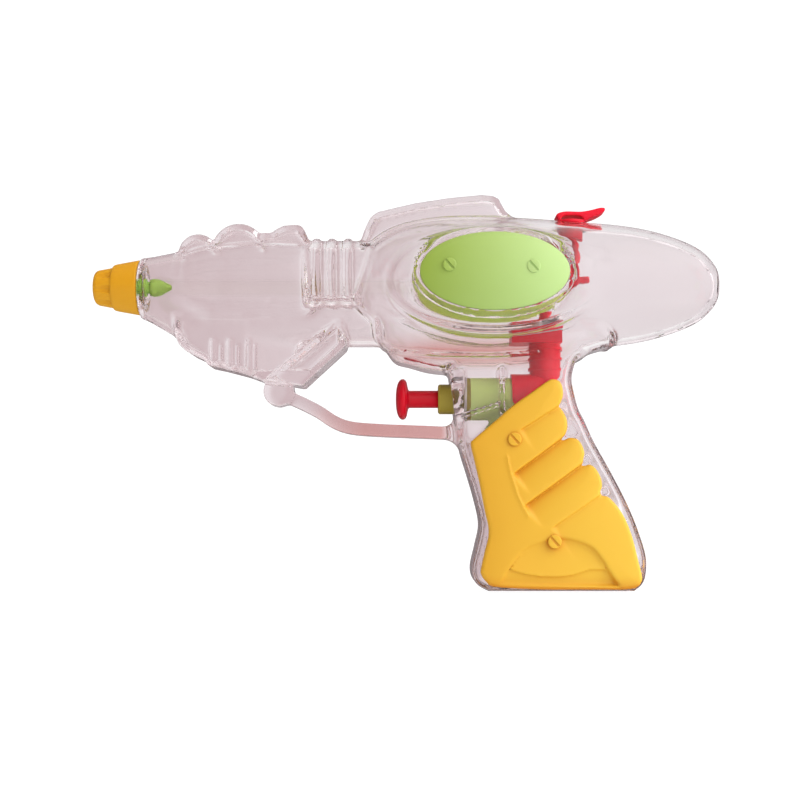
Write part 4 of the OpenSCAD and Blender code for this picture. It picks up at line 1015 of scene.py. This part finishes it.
def soft_room(scene, stage):
    """A room with one large window, which lights the toy and shows through the clear plastic."""
    scene.world = bpy.data.worlds.new("soft room")
    scene.world.use_nodes = True
    tree = scene.world.node_tree
    tree.nodes.clear()
    white = (1.0, 1.0, 1.0)
    way = add_node(tree, "ShaderNodeTexCoord").outputs["Generated"]
    height = add_node(tree, "ShaderNodeSeparateXYZ", links={"Vector": way})
    toward_window = (0.8, -0.54, 0.26)
    toward = add_node(tree, "ShaderNodeVectorMath", {"operation": "DOT_PRODUCT", 1: toward_window}, {0: way})
    # Light that falls on the opaque pieces is kept whole; only the direct sight of the room is held back
    ray = add_node(tree, "ShaderNodeLightPath")
    sight = add_node(tree, "ShaderNodeMath", {"operation": "SUBTRACT", "use_clamp": True, 0: 1.0},
                     {1: ray.outputs["Diffuse Depth"]})
    glint, through = (
        add_node(tree, "ShaderNodeMath", {"operation": "MULTIPLY"}, {0: ray.outputs[kind], 1: sight})
        for kind in ("Is Reflection Ray", "Is Transmission Ray"))
    bright, dim, held_back = (
        add_node(tree, "ShaderNodeMapRange", {"To Min": whole, "To Max": seen}, {"Value": share})
        for whole, seen, share in ((stage.key, stage.seen, through), (stage.shade, stage.fill, through),
                                   (1.0, stage.mirror, glint)))
    window = add_node(tree, "ShaderNodeMapRange",
                      {"interpolation_type": "SMOOTHSTEP", "From Min": 0.4, "From Max": 0.95, "To Min": 1.0},
                      {"Value": toward, "To Max": bright})
    behind = add_node(tree, "ShaderNodeMapRange",
                      {"interpolation_type": "SMOOTHSTEP", "From Min": -0.9, "From Max": -0.1, "To Max": 1.0},
                      {"Value": height.outputs["Y"], "To Min": dim})
    lit = add_node(tree, "ShaderNodeMath", {"operation": "MULTIPLY"}, {0: window, 1: behind})
    power = add_node(tree, "ShaderNodeMath", {"operation": "MULTIPLY"}, {0: lit, 1: held_back})
    # Floor, walls and ceiling by height, and a darker wall on the left
    level = add_node(tree, "ShaderNodeMapRange", {"From Min": -1.0}, {"Value": height.outputs["Z"]})
    walls = add_node(tree, "ShaderNodeValToRGB", links={"Fac": level})
    room = [(0.0, white), (0.22, white), (0.31, stage.room), (0.71, stage.room), (0.84, (0.92, 0.9, 0.91))]
    while len(walls.color_ramp.elements) < len(room):
        walls.color_ramp.elements.new(0.5)
    for stop, (place, colour) in zip(walls.color_ramp.elements, room):
        stop.position = place
        stop.color = opaque(colour)
    across = add_node(tree, "ShaderNodeMapRange", {"From Min": -0.2, "From Max": 0.12},
                      {"Value": height.outputs["X"]})
    left, right = opaque(stage.room_left), opaque(white)
    side = add_node(tree, "ShaderNodeMix", {"data_type": "RGBA", "A": left, "B": right}, {"Factor": across})
    tone = add_node(tree, "ShaderNodeMix", {"data_type": "RGBA", "blend_type": "MULTIPLY", "Factor": 1.0},
                    {"A": walls, "B": side})
    light = add_node(tree, "ShaderNodeBackground", links={"Color": tone, "Strength": power})
    add_node(tree, "ShaderNodeOutputWorld", links={"Surface": light})


def picture_camera(scene, stage):
    """A camera that stands a little low and to the right, and looks at the middle of the picture."""
    data = bpy.data.cameras.new("camera")
    data.lens, data.sensor_width = stage.lens, 36
    camera = bpy.data.objects.new("camera", data)
    camera.location = (AIM_X / 1000 + stage.side, -stage.distance, AIM_Z / 1000 - stage.drop)
    reach = math.hypot(stage.distance, stage.side)
    camera.rotation_euler = (math.pi / 2 + math.atan2(stage.drop, reach), 0,
                             math.atan2(stage.side, stage.distance))
    scene.collection.objects.link(camera)
    scene.camera = camera


class SQUIRTER_OT_stage(bpy.types.Operator):
    """Set up the white paper sweep, the soft room and the camera"""

    bl_idname = "squirter.stage"
    bl_label = "Stage"

    def execute(self, context):
        scene = context.scene
        for build in (paper_sweep, soft_room, picture_camera):
            build(scene, scene.squirter_stage)
        scene.view_settings.view_transform = "Standard"
        # Rays cross many walls of clear plastic
        scene.cycles.max_bounces = 32
        scene.cycles.transmission_bounces = 32
        scene.cycles.glossy_bounces = 24
        return {"FINISHED"}


class SQUIRTER_PT_pieces(bpy.types.Panel):
    """Lists the pieces that can be built"""

    bl_label = "Water squirter"
    bl_idname = "SQUIRTER_PT_pieces"
    bl_space_type = "VIEW_3D"
    bl_region_type = "UI"
    bl_category = "Squirter"

    def draw(self, context):
        for operator in PIECES:
            self.layout.operator(operator.bl_idname)
        for group in GROUPS:
            settings = getattr(context.scene, group)
            box = self.layout.box()
            for name in settings.__annotations__:
                box.prop(settings, name)


PIECES = (SQUIRTER_OT_stage, SQUIRTER_OT_clear_shells, SQUIRTER_OT_oval_panels, SQUIRTER_OT_grip_panels,
          SQUIRTER_OT_nozzle, SQUIRTER_OT_trigger, SQUIRTER_OT_filler_plug, SQUIRTER_OT_return_spring,
          SQUIRTER_OT_pump)
GROUPS = {"squirter_body": SquirterBody, "squirter_trim": SquirterTrim, "squirter_colours": SquirterColours,
          "squirter_stage": SquirterStage}


def register():
    for cls in (*GROUPS.values(), *PIECES, SQUIRTER_PT_pieces):
        bpy.utils.register_class(cls)
    for name, cls in GROUPS.items():
        setattr(bpy.types.Scene, name, PointerProperty(type=cls))


def unregister():
    for name in GROUPS:
        delattr(bpy.types.Scene, name)
    for cls in (SQUIRTER_PT_pieces, *reversed(PIECES), *reversed(GROUPS.values())):
        bpy.utils.unregister_class(cls)


def main():
    register()
    bpy.ops.squirter.stage()
    bpy.ops.squirter.clear_shells()
    bpy.ops.squirter.oval_panels()
    bpy.ops.squirter.grip_panels()
    bpy.ops.squirter.nozzle()
    bpy.ops.squirter.trigger()
    bpy.ops.squirter.filler_plug()
    bpy.ops.squirter.return_spring()
    bpy.ops.squirter.pump()


if __name__ == "__main__":
    main()
